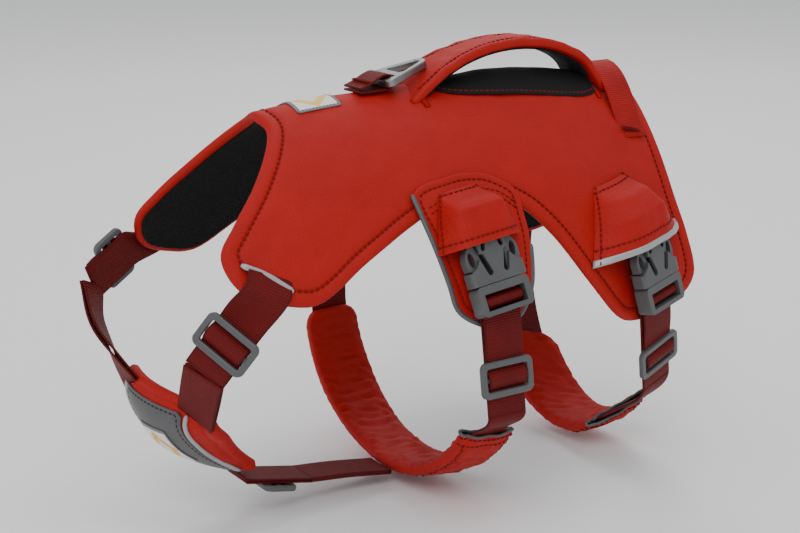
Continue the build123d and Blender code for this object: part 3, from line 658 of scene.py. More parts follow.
def forged(name, colour):
    """Tumbled forged metal."""
    material, tree, surface = blank(name, Metallic=1.0)
    place = add(tree, "ShaderNodeTexCoord").outputs["Object"]
    cloud = add(tree, "ShaderNodeTexNoise", None, Vector=place, Scale=260.0, Detail=6.0, Roughness=0.7).outputs[0]
    tree.links.new(mixed(tree, cloud, shade_of(colour, 0.8), shade_of(colour, 1.15)), surface.inputs["Base Color"])
    rough = add(tree, "ShaderNodeMapRange", None, i0=cloud, i1=0.3, i2=0.7, i3=0.28, i4=0.5)
    tree.links.new(rough.outputs[0], surface.inputs["Roughness"])
    bumped(tree, surface, cloud, 0.12, 0.0004)
    return material


def thread(name, colour):
    """Twisted sewing thread, with painted shade and painted highlight on the bands of its twist."""
    material, tree, surface = blank(name, Roughness=0.6, Specular_IOR_Level=0.2)
    place = add(tree, "ShaderNodeTexCoord").outputs["Object"]
    twist = add(tree, "ShaderNodeTexWave", {"bands_direction": "DIAGONAL"}, Vector=place, Scale=700.0).outputs[1]
    # Painted shade and painted highlight: the twist bands are darker in their hollows and lighter on their ridges.
    tree.links.new(mixed(tree, twist, shade_of(colour, 0.7), shade_of(colour, 1.2)), surface.inputs["Base Color"])
    bumped(tree, surface, twist, 0.4, 0.0001)
    return material


def woven_label(name, middle, half, field, mark):
    """Woven label with a plain lozenge inside a border; middle and half are in metres on the cloth."""
    material, tree, surface = blank(name, Roughness=0.55, Sheen_Weight=0.2)
    uv, u, v = cloth_places(tree)
    du = maths(tree, "DIVIDE", maths(tree, "ABSOLUTE", maths(tree, "SUBTRACT", u, middle[0])), half[0])
    dv = maths(tree, "DIVIDE", maths(tree, "ABSOLUTE", maths(tree, "SUBTRACT", v, middle[1])), half[1])
    lozenge = maths(tree, "LESS_THAN", maths(tree, "ADD", du, dv), 0.85)
    core = maths(tree, "LESS_THAN", maths(tree, "ADD", du, dv), 0.42)
    rim = maths(tree, "GREATER_THAN", maths(tree, "MAXIMUM", du, dv), 0.86)
    body = mixed(tree, lozenge, field, mark)
    body = mixed(tree, core, body, field)
    body = mixed(tree, rim, body, (0.16, 0.16, 0.17, 1.0))
    tree.links.new(body, surface.inputs["Base Color"])
    bumped(tree, surface, lines(tree, u, 0.0005), 0.4, 0.00015)
    return material


FINISHES = {}


def finish(name):
    """The finishes, each made once from the colours of the scene."""
    if name not in FINISHES:
        c = bpy.context.scene.harness_colours
        makers = {
            "cloth": lambda: ripstop("harness_cloth", c.cloth),
            "webbing": lambda: ribbed_webbing("harness_webbing", c.webbing),
            "bright_webbing": lambda: ribbed_webbing("harness_webbing_bright", c.cloth),
            "lining": lambda: air_mesh("harness_lining", c.lining),
            "recess": lambda: ripstop("harness_recess", shade_of(c.lining, 0.8), 0.8),
            "tape": lambda: reflective("harness_reflective", c.tape),
            "panel": lambda: reflective("harness_panel", shade_of(c.tape, 0.22), 0.45),
            "dark_piping": lambda: reflective("harness_dark_piping", shade_of(c.tape, 0.25), 0.5),
            "plastic": lambda: moulded("harness_plastic", c.plastic),
            "metal": lambda: forged("harness_metal", c.metal),
            "thread": lambda: thread("harness_thread", shade_of(c.cloth, 0.42)),
            "bright_thread": lambda: thread("harness_thread_bright", shade_of(c.cloth, 1.2)),
            "dark_thread": lambda: thread("harness_thread_dark", shade_of(c.lining, 1.0)),
            "back_label": lambda: woven_label("harness_back_label", (-0.071, 0.0), (0.014, 0.0132),
                                              (0.82, 0.8, 0.74, 1), (0.85, 0.55, 0.08, 1)),
            "chest_label": lambda: woven_label("harness_chest_label", (-0.0063, 0.041), (0.0125, 0.014),
                                               (0.82, 0.8, 0.74, 1), (0.85, 0.45, 0.06, 1)),
        }
        FINISHES[name] = makers[name]()
    return FINISHES[name]


# ---------------------------------------------------------------- places
def strap_plane(x, z, lift, turn):
    """Matrix of a buckle's own frame on the left of the form: x across, y up the strap, z outwards."""
    here, normal = on_form([x], [arc_at(x, z)])
    ahead, _ = on_form([x + 2, x - 2], [arc_at(x + 2, z), arc_at(x - 2, z)])
    along = ahead[0] - ahead[1]
    up = np.array((0, normal[0][2], -normal[0][1]))
    out = np.cross(along, up)
    out *= -1 if out[1] > 0 else 1
    out /= np.linalg.norm(out)
    across = np.cross(up, out)
    across /= np.linalg.norm(across)
    frame = Matrix.Identity(4)
    for k, column in enumerate((across, np.cross(out, across), out, here[0] + lift * normal[0])):
        for row in range(3):
            frame[row][k] = column[row]
    return np.array(frame @ Matrix.Rotation(math.radians(turn), 4, "Z"))


def strap_matrix(top, bottom, outwards, at):
    """Matrix of a frame on a straight strap: x across, y towards its top, z outwards."""
    top, bottom, outwards = (np.asarray(v, float) for v in (top, bottom, outwards))
    up = (top - bottom) / np.linalg.norm(top - bottom)
    across = np.cross(up, outwards)
    across /= np.linalg.norm(across)
    frame = np.eye(4)
    frame[:3, 0], frame[:3, 1], frame[:3, 2] = across, up, np.cross(across, up)
    frame[:3, 3] = bottom + (top - bottom) * at
    return frame


def place(frame, points):
    """Points of a local frame in the row frame."""
    points = np.asarray(points, float)
    return points @ frame[:3, :3].T + frame[:3, 3]


def shifted(frame, x, y, z):
    moved = frame.copy()
    moved[:3, 3] = place(frame, [(x, y, z)])[0]
    return moved


def girth_lines(name):
    """Buckle frame, top, bottom and outward direction of a girth's straight strap, and its slider's frame."""
    girth = GIRTHS[name]
    buckle = strap_plane(*girth["buckle"])
    top = place(buckle, [(0, -15.6, -6.5)])[0]
    z, lift = girth["slider"]
    base, normal = on_form([girth["x"]], [arc_at(girth["x"], z)])
    at = base[0] + normal[0] * lift
    plane = strap_plane(girth["x"], z, 0, 0)
    down = (at - top) / np.linalg.norm(at - top)
    bottom = at + down * STRAP_END
    out = plane[:3, 2]
    frame = strap_matrix(top, bottom, out, STRAP_END / np.linalg.norm(top - bottom))
    return buckle, top, bottom, out, shifted(frame, 0, 0, 0.7 + 0.3 + 1.6)


def bar_wrap(name, frame, path, width=None, thick=None):
    """Webbing folded over a bar, from its path in the local y and z."""
    local = smooth_line([(0, y, z) for y, z in path], 0.8)
    line = place(frame, local)
    across = np.repeat(frame[None, :3, 0], len(line), 0)
    return webbing(name, line, across, path_normals(line, frame[:3, 0]), width, thick)


SLIDER_PATH = [(-8.2, -2.3), (-5.6, -1.7), (-3.4, 0.7), (-1.4, 1.75), (1.4, 1.75), (3.4, 0.7), (5.6, -1.7), (8.2, -2.3)]
INSERT_PATH = [(-16.5, -5.0), (-13.4, -3.6), (-12.4, 0.2), (-10.9, 2.5), (-8.6, 2.5), (-6.9, 0.4), (-6.6, -2.6), (-8.6, -4.5)]
TAB_PATH = [(41.0, -4.6), (36.5, -5.0), (33.2, -4.2), (32.0, -1.5), (32.0, 1.5), (33.4, 4.4), (36.5, 4.9), (40.0, 3.2),
            (43.0, 0.0)]


def saddle_outline():
    """Closed outline of the saddle laid out on the form."""
    near = to_form(smooth_line(NECK_EDGE + FRONT_LOBE + NEAR_REAR_LOBE + RUMP_EDGE, 2.2), -1)
    far = to_form(smooth_line(NECK_EDGE + FRONT_LOBE + FAR_REAR_LOBE + RUMP_EDGE, 2.2), 1)
    whole = np.vstack((near, far[::-1][1:-1]))
    return smooth_line(whole, 2.6, closed=True)


def flap_rise(x, arc):
    """How far the flap hangs in below its pocket."""
    z = on_form(x, arc)[0][:, 2]
    start, depth = FLAP_SINK
    t = np.clip((start - z) / start, 0, 1)
    return -depth * (3 * t**2 - 2 * t**3)


# ---------------------------------------------------------------- pieces
def build_saddle():
    outline = saddle_outline()
    outer, inner = rolled(0.35, -5.3, 3.0, groove=0.6, at=8.0, puff=0.75, reach=15.0)

    def creased(d, a, b):
        soft = np.clip((d - 9) / 12, 0, 1)
        return outer(d, a, b) + soft * (0.42 * ripple(a, b, 46, 3, 1.6) + 0.18 * ripple(a, b, 17, 5)) - 0.2 * soft

    saddle = cloth_piece("saddle", outline, on_form, creased, inner,
                         (0.35, 0.9, 1.7, 2.8, 4.6, 6.4, 7.3, 8.0, 8.7, 9.8), 2.9)
    fit(saddle, finish("cloth"), stands_for=("saddle_shell", "saddle_foam", "saddle_binding"))
    inner_line = inward(outline, 3.4)[0]
    top, low = rolled(-5.35, -6.25, 1.0)
    lining = cloth_piece("saddle_mesh_lining", inner_line, on_form, top, low, (0.3, 0.7, 1.4), 3.6)
    fit(lining, finish("lining"), stands_for=("saddle_lining",))
    rows = [form_row(run, 0.28) for run in split_runs(outline, 8.0)]
    stitches("saddle_edge_stitches", rows, finish("thread"))


def build_back_details():
    corner = [(-84, -12.4), (-58, -12.4), (-57.2, -11.6), (-57.2, 11.6), (-58, 12.4), (-84, 12.4), (-84.8, 11.6),
              (-84.8, -11.6)]
    outline = plan_to_form(corner)
    dense = []
    for p, q in zip(outline, np.roll(outline, -1, axis=0)):
        count = max(int(np.linalg.norm(q - p) / 1.5), 1)
        dense += [p + (q - p) * k / count for k in range(count)]
    dense = np.array(dense)
    top, low = rolled(1.75, 1.0, 0.5)
    label = cloth_piece("back_label", dense, on_form, top, low, (0.2, 0.5, 1.0), 2.4)
    fit(label, finish("back_label"), stands_for=("label_patch",))
    stitches("back_label_stitches", [form_row(run, 1.72) for run in split_runs(dense, 1.6)], finish("dark_thread"),
             pitch=2.2, long=1.6, thick=0.22)
    rim = plan_to_form(smooth_line(RECESS, 2.0, closed=True))
    top, low = rolled(2.1, 1.1, 0.9)
    panel = cloth_piece("handle_recess_panel", rim, on_form, lambda d, a, b: top(d, a, b) + 0.25 * ripple(a, b, 22, 8),
                        low, (0.3, 0.7, 1.3, 2.4), 2.8)
    fit(panel, finish("recess"), stands_for=("handle_recess",))
    stitches("handle_recess_stitches", [form_row(run, 2.05) for run in split_runs(rim, 2.6)], finish("thread"))
    for side, word in ((-1, "left"), (1, "right")):
        path = to_form(smooth_line([(-146, 40.5), (-134, 34.5), (-122, 25.5)], 2.0), side)
        base, normal = on_form(path[:, 0], path[:, 1])
        trim = tube(word + "_neck_trim", base + normal * 1.5, 1.7, 10, 0.55, normal)
        fit(trim, finish("tape"), stands_for=("neck_trims",) if side < 0 else ())


def handle_rings(rows=84, count=44):
    """Rings of the padded handle with its top line, half widths and directions."""
    x = np.linspace(HANDLE_LINE[0, 0], HANDLE_LINE[-1, 0], rows)
    values = smooth_rows(HANDLE_LINE, x)
    top = np.column_stack((x, np.zeros(rows), values[:, 0]))
    along = np.gradient(top, axis=0)
    along /= np.linalg.norm(along, axis=1)[:, None]
    up = np.cross(along, (0, 1.0, 0))
    up *= np.sign(up[:, 2])[:, None]
    return top, values[:, 1], up


def build_handle():
    top, half, up = handle_rings()
    angle = np.linspace(0, 2 * math.pi, 44, endpoint=False)
    c, s = np.cos(angle), np.sin(angle)
    rings, uv = [], []
    length = np.concatenate(([0], np.cumsum(np.linalg.norm(np.diff(top, axis=0), axis=1))))
    for k in range(len(top)):
        y = half[k] * np.sign(c) * np.abs(c)**0.5
        n = 3.3 * np.sign(s) * np.abs(s)**0.62
        edge = half[k] - np.abs(y)
        n = n + np.where(s > 0, 0.55 * np.exp(-(edge - 1.6)**2 / 2.2) - 0.75 * np.exp(-((edge - 4.6) / 0.9)**2), 0)
        n = n + np.where(s > 0, 1, 0.4) * 0.35 * ripple(np.full(len(y), length[k]), y, 15, 21, 0.7)
        rings.append(top[k] + np.outer(y, (0, 1.0, 0)) + np.outer(n - 3.4, up[k]))
        uv += [(a, length[k]) for a in y]
    handle = lofted("handle", rings, True, uv)
    fit(handle, finish("cloth"), stands_for=("handle_cover", "handle_webbing"))
    rows = []
    for side in (-1, 1):
        inset = np.column_stack((np.zeros(len(top)), side * (half - 4.6), np.zeros(len(top))))
        rows.append((top[4:-4] + inset[4:-4] - up[4:-4] * 0.55, up[4:-4]))
    stitches("handle_stitches", rows, finish("thread"))
    inner = []
    for k in range(4, len(top) - 4):
        w = half[k] - 3.2
        ring = [(-w, 6.7), (-w * 0.5, 6.75), (0, 6.75), (w * 0.5, 6.75), (w, 6.7), (w, 7.35), (0, 7.5), (-w, 7.35)]
        inner.append([top[k] + np.array((0, y, 0)) - up[k] * n for y, n in ring])
    flat_uv = [(y, length[k]) for k in range(4, len(top) - 4) for y in (-10, -5, 0, 5, 10, 10, 0, -10)]
    strip = lofted("handle_grip_lining", inner, True, flat_uv)
    fit(strip, finish("lining"), stands_for=("handle_lining",))
    tacks = []
    for side in (-1, 1):
        for x, first, last in ((-8, 15, 25), (117, 14, 24)):
            zig = np.array([(x + (1.5 if k % 2 else -1.5), side * (first + (last - first) * k / 26)) for k in range(27)])
            base, normal = on_form(zig[:, 0], zig[:, 1])
            tacks.append((base + normal * 1.6, normal))
    for k, (line, normal) in enumerate(tacks):
        piece = tube("handle_bartack_%d" % (k + 1), line, 0.55, 6, 1.0, normal)
        fit(piece, finish("bright_thread"), stands_for=("handle_bartacks",) if k == 0 else ())


def build_spine_loop():
    arc = np.linspace(-50, 50, 41)
    base, normal = on_form(np.full(41, 130.5), arc)
    line = base + normal * (0.9 + 8.0 * np.cos(arc / 50 * math.pi / 2)**2)[:, None]
    across = np.repeat([[1.0, 0, 0]], 41, 0)
    band = webbing("spine_loop_band", line, across, path_normals(line, (-1.0, 0, 0)), 19.0, 1.4)
    fit(band, finish("bright_webbing"), stands_for=("spine_loop",))
    for side in (-1, 1):
        zig = np.array([(122.5 + 16 * k / 26, side * (45.5 + (1.2 if k % 2 else -1.2))) for k in range(27)])
        spot, out = on_form(zig[:, 0], zig[:, 1])
        fit(tube("spine_loop_bartack_%s" % ("left" if side < 0 else "right"), spot + out * 2.3, 0.5, 6, 1.0, out),
            finish("thread"))


def build_ring_loop():
    path = [(-17, -4.6), (-12, -4.8), (-7, -4.5), (-1.5, -4.15), (2.6, -3.3), (4.2, 0), (3.0, 3.0), (0, 4.2), (-4.5, 2.9),
            (-9, 0.6), (-13, -1.2), (-17, -2.6)]
    line = smooth_line([(RING_BAR[0] + x, 0, RING_BAR[2] + z) for x, z in path], 1.0)
    across = np.repeat([[0, 1.0, 0]], len(line), 0)
    loop = webbing("ring_webbing_loop", line, across, path_normals(line, (0, 1.0, 0)), 18.6, 1.3)
    fit(loop, finish("webbing"), stands_for=("ring_loop",))
    zig = np.array([(RING_BAR[0] - 11 + (1.3 if k % 2 else -1.3), -8.6 + 17.2 * k / 34) for k in range(35)])
    spot = np.column_stack((zig[:, 0], zig[:, 1], np.full(35, RING_BAR[2] + 0.9)))
    out = np.repeat([[-0.4, 0, 1.0]], 35, 0)
    fit(tube("ring_loop_bartack", spot, 0.5, 6, 1.0, out), finish("thread"))


def build_flap():
    outline = to_form(smooth_line(FLAP_OUTLINE, 2.0, closed=True))
    outer, inner = rolled(2.5, 1.0, 1.2, groove=0.3, at=4.2, puff=0.25, reach=8)
    flap = cloth_piece("mid_flap_panel", outline, on_form,
                       lambda d, a, b: outer(d, a, b) + flap_rise(a, b) + 0.25 * ripple(a, b, 24, 31) * np.clip(d / 8, 0, 1),
                       lambda d, a, b: inner(d, a, b) + flap_rise(a, b), (0.3, 0.8, 1.5, 2.6, 3.6, 4.2, 4.8), 2.4)
    fit(flap, finish("cloth"), stands_for=("mid_flap",))

    def height(path):
        return 2.42 + flap_rise(path[:, 0], path[:, 1])

    rows = [form_row(run, height) for run in split_runs(outline, 4.2)]
    for drop in (9.0, 12.0):
        arch = to_form(smooth_line([(-36, 66 - drop), (-18.5, 71.5 - drop), (-2, 72.4 - drop), (10, 70 - drop),
                                    (19, 64 - drop)], 1.5))
        rows.append(form_row(arch, lambda p: height(p) + 0.12))
    stitches("mid_flap_stitches", rows, finish("thread"))
    path = to_form(smooth_line(FLAP_PIPING, 2.0))
    base, normal = on_form(path[:, 0], path[:, 1])
    piping = tube("mid_flap_edge_piping", base + normal * (1.9 + flap_rise(path[:, 0], path[:, 1]))[:, None], 1.5, 10,
                  0.8, normal)
    fit(piping, finish("dark_piping"), stands_for=("mid_flap_piping",))


def pocket_roof(name, frame, rows, ground):
    """Cover over a buckle: a crowned roof between walls that run down to the cloth."""
    v_keys = np.array([r[0] for r in rows])
    shape = np.column_stack((v_keys, np.array([r[1:] for r in rows])))
    v_all = np.linspace(v_keys[0], v_keys[-1] - 0.6, 34)
    across = np.linspace(-1, 1, 41)
    grid, uv = [], []
    for v in v_all:
        base, roof, height = (np.interp(v, v_keys, shape[:, k]) for k in (1, 2, 3))
        ends = []
        for side in (-1, 1):
            spot = place(frame, [(side * base, v, 0)])[0]
            for _ in range(3):
                foot, normal = on_form([spot[0]], [arc_at(spot[0], spot[2])])
                foot = foot[0] + normal[0] * ground
                local = (foot - frame[:3, 3]) @ frame[:3, :3]
                spot = place(frame, [(side * base, v, local[2])])[0]
            ends.append(local[2])
        low, high = ends
        spot = place(frame, [(0, v, 0)])[0]
        for _ in range(3):
            foot, normal = on_form([spot[0]], [arc_at(spot[0], spot[2])])
            local = (foot[0] + normal[0] * ground - frame[:3, 3]) @ frame[:3, :3]
            spot = place(frame, [(0, v, local[2])])[0]
        crest = max(height + 0.6, local[2] + 0.9)
        closing = np.clip((v - v_keys[-1] + 9.0) / 8.0, 0, 1)
        crest = crest * (1 - closing) + (local[2] + 1.2) * closing
        knots = np.array([(-base, low), (-(base + roof) / 2 - 0.4, (low + crest) / 2 + 0.6), (-roof + 0.6, crest - 1.2),
                          (-roof * 0.5, crest + 0.35), (0, crest + 0.5), (roof * 0.5, crest + 0.35),
                          (roof - 0.6, crest - 1.2), ((base + roof) / 2 + 0.4, (high + crest) / 2 + 0.6), (base, high)])
        line = smooth_line(knots, 1.0)
        t = np.linspace(0, len(line) - 1, len(across))
        line = np.column_stack([np.interp(t, np.arange(len(line)), line[:, k]) for k in (0, 1)])
        fold = 0.35 * ripple(line[:, 0], np.full(len(line), v), 13, 41) * (1 - np.abs(across)**3)
        grid.append(place(frame, np.column_stack((line[:, 0], np.full(len(line), v), line[:, 1] + fold))))
        uv += [(u, v) for u in line[:, 0]]
    grid = np.array(grid)
    rows_n, cols = grid.shape[:2]
    faces = [(i * cols + j, i * cols + j + 1, (i + 1) * cols + j + 1, (i + 1) * cols + j)
             for i in range(rows_n - 1) for j in range(cols - 1)]
    piece = new_object(name, grid.reshape(-1, 3), faces, uv)
    wall = piece.modifiers.new("Cloth thickness", "SOLIDIFY")
    wall.thickness, wall.offset = 1.1 * MM, -1.0
    rim = piece.modifiers.new("Soft rim", "BEVEL")
    rim.width, rim.segments, rim.limit_method, rim.angle_limit = 0.35 * MM, 2, "ANGLE", math.radians(60)
    apply_all(piece)
    return piece, grid


def surface_row(grid, row, lift=0.3):
    """Stitch row along one row of a grid of points."""
    line = grid[row]
    along, up = np.gradient(grid, axis=1)[row], np.gradient(grid, axis=0)[row]
    normal = np.cross(along, up)
    normal /= np.linalg.norm(normal, axis=1)[:, None]
    return line + normal * lift, normal


def build_pockets():
    for name, ground in (("front", 3.0), ("rear", 1.0)):
        frame = strap_plane(*GIRTHS[name]["buckle"])
        pocket, grid = pocket_roof(name + "_buckle_cover", frame, POCKETS[name], ground)
        fit(pocket, finish("cloth"), stands_for=(name + "_pocket",))
        rows = [surface_row(grid, 4 if name == "front" else 7), surface_row(grid, -3)]
        turned = grid.transpose(1, 0, 2)
        for column in (2, -3):
            line, normal = surface_row(turned, column, -0.3)
            rows.append((line, -normal))
        stitches(name + "_cover_stitches", rows, finish("thread"))
        if name == "rear":
            hem = grid[:4].copy()
            normal = np.cross(np.gradient(hem, axis=1), np.gradient(hem, axis=0))
            normal /= np.linalg.norm(normal, axis=2)[:, :, None]
            inside, outside = hem - normal * 1.3, hem + normal * 0.45
            cols = hem.shape[1]
            rings = [np.vstack((outside[:, j], inside[::-1, j])) for j in range(cols)]
            uv = [(j, k) for j in range(cols) for k in range(8)]
            trim = lofted("rear_cover_trim", rings, True, uv)
            fit(trim, finish("tape"), stands_for=("rear_pocket_trim",))


def build_sleeve(name):
    """Padded tube round the girth webbing, creased across; a face in the dark lining closes its left end and stands for
    the open mouth, lining colour with painted shade inside.
    """
    girth = GIRTHS[name]
    first = arc_at(girth["x"], girth["far_top"], 1)
    last = arc_at(girth["x"], girth["near_top"], 1, below=True)
    rows = int((last - first) / 2.4)
    arc = np.linspace(first, last, rows)
    angle = np.linspace(0, 2 * math.pi, 44, endpoint=False)
    c, s = np.cos(angle), np.sin(angle)
    rings, uv = [], []
    for k, a in enumerate(arc):
        from_end = a - first
        shrink = math.sqrt(max(1 - (1 - min((from_end + 0.6) / 11.0, 1))**2, 0.02))
        shrink = 0.45 + 0.55 * shrink
        half = 18.6 * shrink + 0.5 * math.sin(a / 17.0)
        x = half * np.sign(c) * np.abs(c)**0.55
        lip = 0.5 + 0.5 * math.sqrt(min((last - a) / 13.0, 1))
        n = 4.3 * lip * np.sign(s) * np.abs(s)**0.6 * (0.55 + 0.45 * shrink)
        crease = ripple(np.full(44, a), x + 40 * (s > 0), 11, 51 if name == "front" else 52, 0.55)
        fine = ripple(np.full(44, a) * 1.0, x, 6.5, 53, 0.5)
        inner_side = np.where(s > 0, 1.0, 1.35)
        n = n + np.sign(s) * (0.75 * crease + 0.22 * fine) * inner_side * np.abs(s)**0.4
        seam = np.exp(-((np.abs(x) - half + 3.6) / 0.9)**2) * (s > 0)
        n = n - 0.5 * seam
        base, normal = on_form(girth["x"] + x, np.full(44, a))
        rings.append(base + normal * (n - 2.25)[:, None])
        uv += [(u, a) for u in x + 60 * (s < 0)]
    sleeve = lofted(name + "_sleeve", rings, True, uv)
    fit(sleeve, finish("cloth"), stands_for=(name + "_girth_sleeve",))
    # The end face at the mouth takes the dark lining: the lining's colour with painted shade for the inside of the open
    # end.
    sleeve.data.materials.append(finish("lining"))
    sleeve.data.polygons[len(sleeve.data.polygons) - 1].material_index = 1
    mouth = rings[-1]
    centre = mouth.mean(0)
    rim = np.vstack((mouth, mouth[:1]))
    out = rim - centre
    edge = tube(name + "_sleeve_mouth", rim, 0.95, 8, 1.0, out / np.linalg.norm(out, axis=1)[:, None])
    fit(edge, finish("dark_piping"))
    rows_out = []
    for offset in (3.4, 7.0):
        k = int(np.argmin(np.abs(arc - (last - offset))))
        upper = [j for j in range(44) if 0.05 < s[j]]
        spot = rings[k][upper]
        base, normal = on_form(spot[:, 0], np.full(len(upper), arc[k]))
        rows_out.append((spot + normal * 0.1, normal))
    for column in (6, 16):
        spot = np.array([r[column] for r in rings[6:-3]])
        base, normal = on_form(spot[:, 0], arc[6:-3])
        rows_out.append((spot + normal * 0.15, normal))
    stitches(name + "_sleeve_stitches", rows_out, finish("thread"))
    return first, last


def build_girth(name):
    girth = GIRTHS[name]
    first, last = build_sleeve(name)
    lobe = {"front": 72.0, "rear": 6.0}[name]
    start = arc_at(girth["x"], lobe, 1)
    arc = np.linspace(start, first + 16, 40)
    base, normal = on_form(np.full(40, girth["x"]), arc)
    far = webbing(name + "_far_webbing", base + normal * GIRTH_MIDDLE, np.repeat([[1.0, 0, 0]], 40, 0), normal)
    fit(far, finish("webbing"), stands_for=(name + "_girth_webbing",))
    buckle, top, bottom, out, slider = girth_lines(name)
    body = name + "_insert"
    strap = straight_webbing(name + "_adjusting_strap", top, bottom, out)
    fit(strap, finish("webbing"), body, (name + "_strap",))
    upper = place(buckle, [(0, -15.2, -4.3)])[0]
    lower = place(slider, [(0, 8.0, -1.4)])[0]
    ply = straight_webbing(name + "_strap_return", upper, lower, out, 24.6, 1.3, 0.9)
    paint(ply, finish("webbing"))
    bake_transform(ply)
    inner = np.linspace(last - 9, last + 1.0, 5)
    foot, lift = on_form(np.full(5, girth["x"]), inner)
    foot = foot + lift * GIRTH_MIDDLE
    run = (foot[-1] - foot[-2]) / np.linalg.norm(foot[-1] - foot[-2])
    down = (top - bottom) / np.linalg.norm(top - bottom)
    reach = np.linalg.norm(bottom - foot[-1])
    t = np.linspace(0, 1, 14)[1:, None]
    bend = (foot[-1] * (2 * t**3 - 3 * t**2 + 1) + run * reach * (t**3 - 2 * t**2 + t)
            + bottom * (3 * t**2 - 2 * t**3) + down * reach * (t**3 - t**2))
    line = np.vstack((foot, bend))
    plane = strap_matrix(top, bottom, out, 0)
    share = np.linspace(0, 1, len(line))[:, None]
    across = np.array([[1.0, 0, 0]]) * (1 - share) + plane[None, :3, 0] * np.sign(plane[0, 0]) * share
    tail = webbing(name + "_lower_webbing", line, across, path_normals(line, across))
    paint(tail, finish("webbing"))
    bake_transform(tail)
    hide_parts(name + "_strap_tail")
    fit(bar_wrap(name + "_insert_webbing", buckle, INSERT_PATH), finish("webbing"), body,
        (name + "_buckle_webbing",))
    fit(bar_wrap(name + "_receiver_webbing", buckle, TAB_PATH, 24.6), finish("webbing"), "harness",
        (name + "_buckle_tab",))
    fit(bar_wrap(name + "_slider_fold", slider, SLIDER_PATH), finish("webbing"), name + "_slider",
        (name + "_slider_webbing",))


def build_neck(name):
    side = NECKS[name]
    top, middle, facing = (np.asarray(side[key], float) for key in ("exit", "slider", "facing"))
    down = (middle - top) / np.linalg.norm(middle - top)
    straight_end = middle + down * STRAP_END
    word = -1 if name == "left" else 1
    under = on_form([-132.0, -136.2], [arc_at(-132.0, 34.4, word), arc_at(-136.2, 26.0, word)])
    rise = under[0] + under[1] * np.array([[0.95], [2.7]])
    across = strap_matrix(top, straight_end, facing, 0)[:3, 0]
    room = 0.45 * np.linalg.norm(middle - top)
    run = smooth_line([rise[0], rise[1], middle - down * room, middle - down * room / 2, middle, middle + down * 10,
                       straight_end], 3.0)
    first_across = np.cross(run[1] - run[0], under[1][0])
    first_across *= np.sign(first_across @ across) / np.linalg.norm(first_across)
    share = np.clip(np.linspace(0, 1.9, len(run)), 0, 1)[:, None]
    across = first_across * (1 - share) + across * share
    normals = path_normals(run, across)
    normals *= np.sign(np.sum(normals * facing, axis=1))[:, None]
    upper = webbing(name + "_neck_webbing", run, across, normals)
    fit(upper, finish("webbing"), stands_for=(name + "_neck_strap",))
    frame = strap_matrix(top, straight_end, facing, STRAP_END / np.linalg.norm(top - straight_end))
    slider = shifted(frame, 0, 0, 2.6)
    back = straight_webbing(name + "_neck_return", place(slider, [(0, -7.5, -1.5)])[0],
                            place(slider, [(0, -19.0, -1.6)])[0], slider[:3, 2], 24.6, 1.3, 0.6)
    fit(back, finish("webbing"), name + "_neck_slider")
    spot, outwards = on_chest(side["tuck"][:1], side["tuck"][1:])
    pad, outward_pad = spot[0] - outwards[0] * 0.9, outwards[0]
    bulge = 0.0 if name == "left" else 1.0
    reach = pad - straight_end
    bowed = smooth_line([straight_end, straight_end + reach * 0.3 + down * 6.0 * bulge,
                         straight_end + reach * 0.68 + down * 3.5 * bulge, pad], 2.5)
    t = np.linspace(0, 1, len(bowed))[:, None]
    for ply, gap in (("outer", 1.1), ("inner", -1.1)):
        out = facing * (1 - t) + outward_pad * t
        along = np.gradient(bowed, axis=0)
        along /= np.linalg.norm(along, axis=1)[:, None]
        across = np.cross(along, out)
        across /= np.linalg.norm(across, axis=1)[:, None]
        normals = np.cross(across, along)
        normals *= np.sign(np.sum(normals * out, axis=1))[:, None]
        spread_out = gap * (0.75 + 0.4 * np.sin(math.pi * t))
        loop = webbing("%s_neck_loop_%s" % (name, ply), bowed + normals * spread_out, across, normals, 24.6, 1.3)
        fit(loop, finish("webbing"), stands_for=(name + "_neck_loop",) if gap > 0 else ())
    fit(bar_wrap(name + "_neck_slider_fold", slider, SLIDER_PATH), finish("webbing"), name + "_neck_slider",
        (name + "_neck_slider_webbing",))


PAD_WIDE, PAD_TALL = 36.0, 20.0


def on_chest(a, b):
    """Points and outward directions of the chest pad, a across in millimetres and b down."""
    def raw(s, t):
        row = smooth_rows(CHEST_PAD, np.clip(s, 0, 4))
        t = t[:, None]
        return row[:, :3] * (t * (t - 1) / 2) + row[:, 3:6] * (1 - t * t) + row[:, 6:] * (t * (t + 1) / 2)
    s, t = np.clip(np.asarray(b, float) / PAD_TALL, 0, 4), np.asarray(a, float) / PAD_WIDE
    low, high = np.clip(s - 0.05, 0, 3.9), np.clip(s + 0.05, 0.1, 4)
    along = raw(high, t) - raw(low, t)
    across = raw(s, t + 0.05) - raw(s, t - 0.05)
    normal = np.cross(along, across)
    return raw(s, t), normal / np.linalg.norm(normal, axis=1)[:, None]


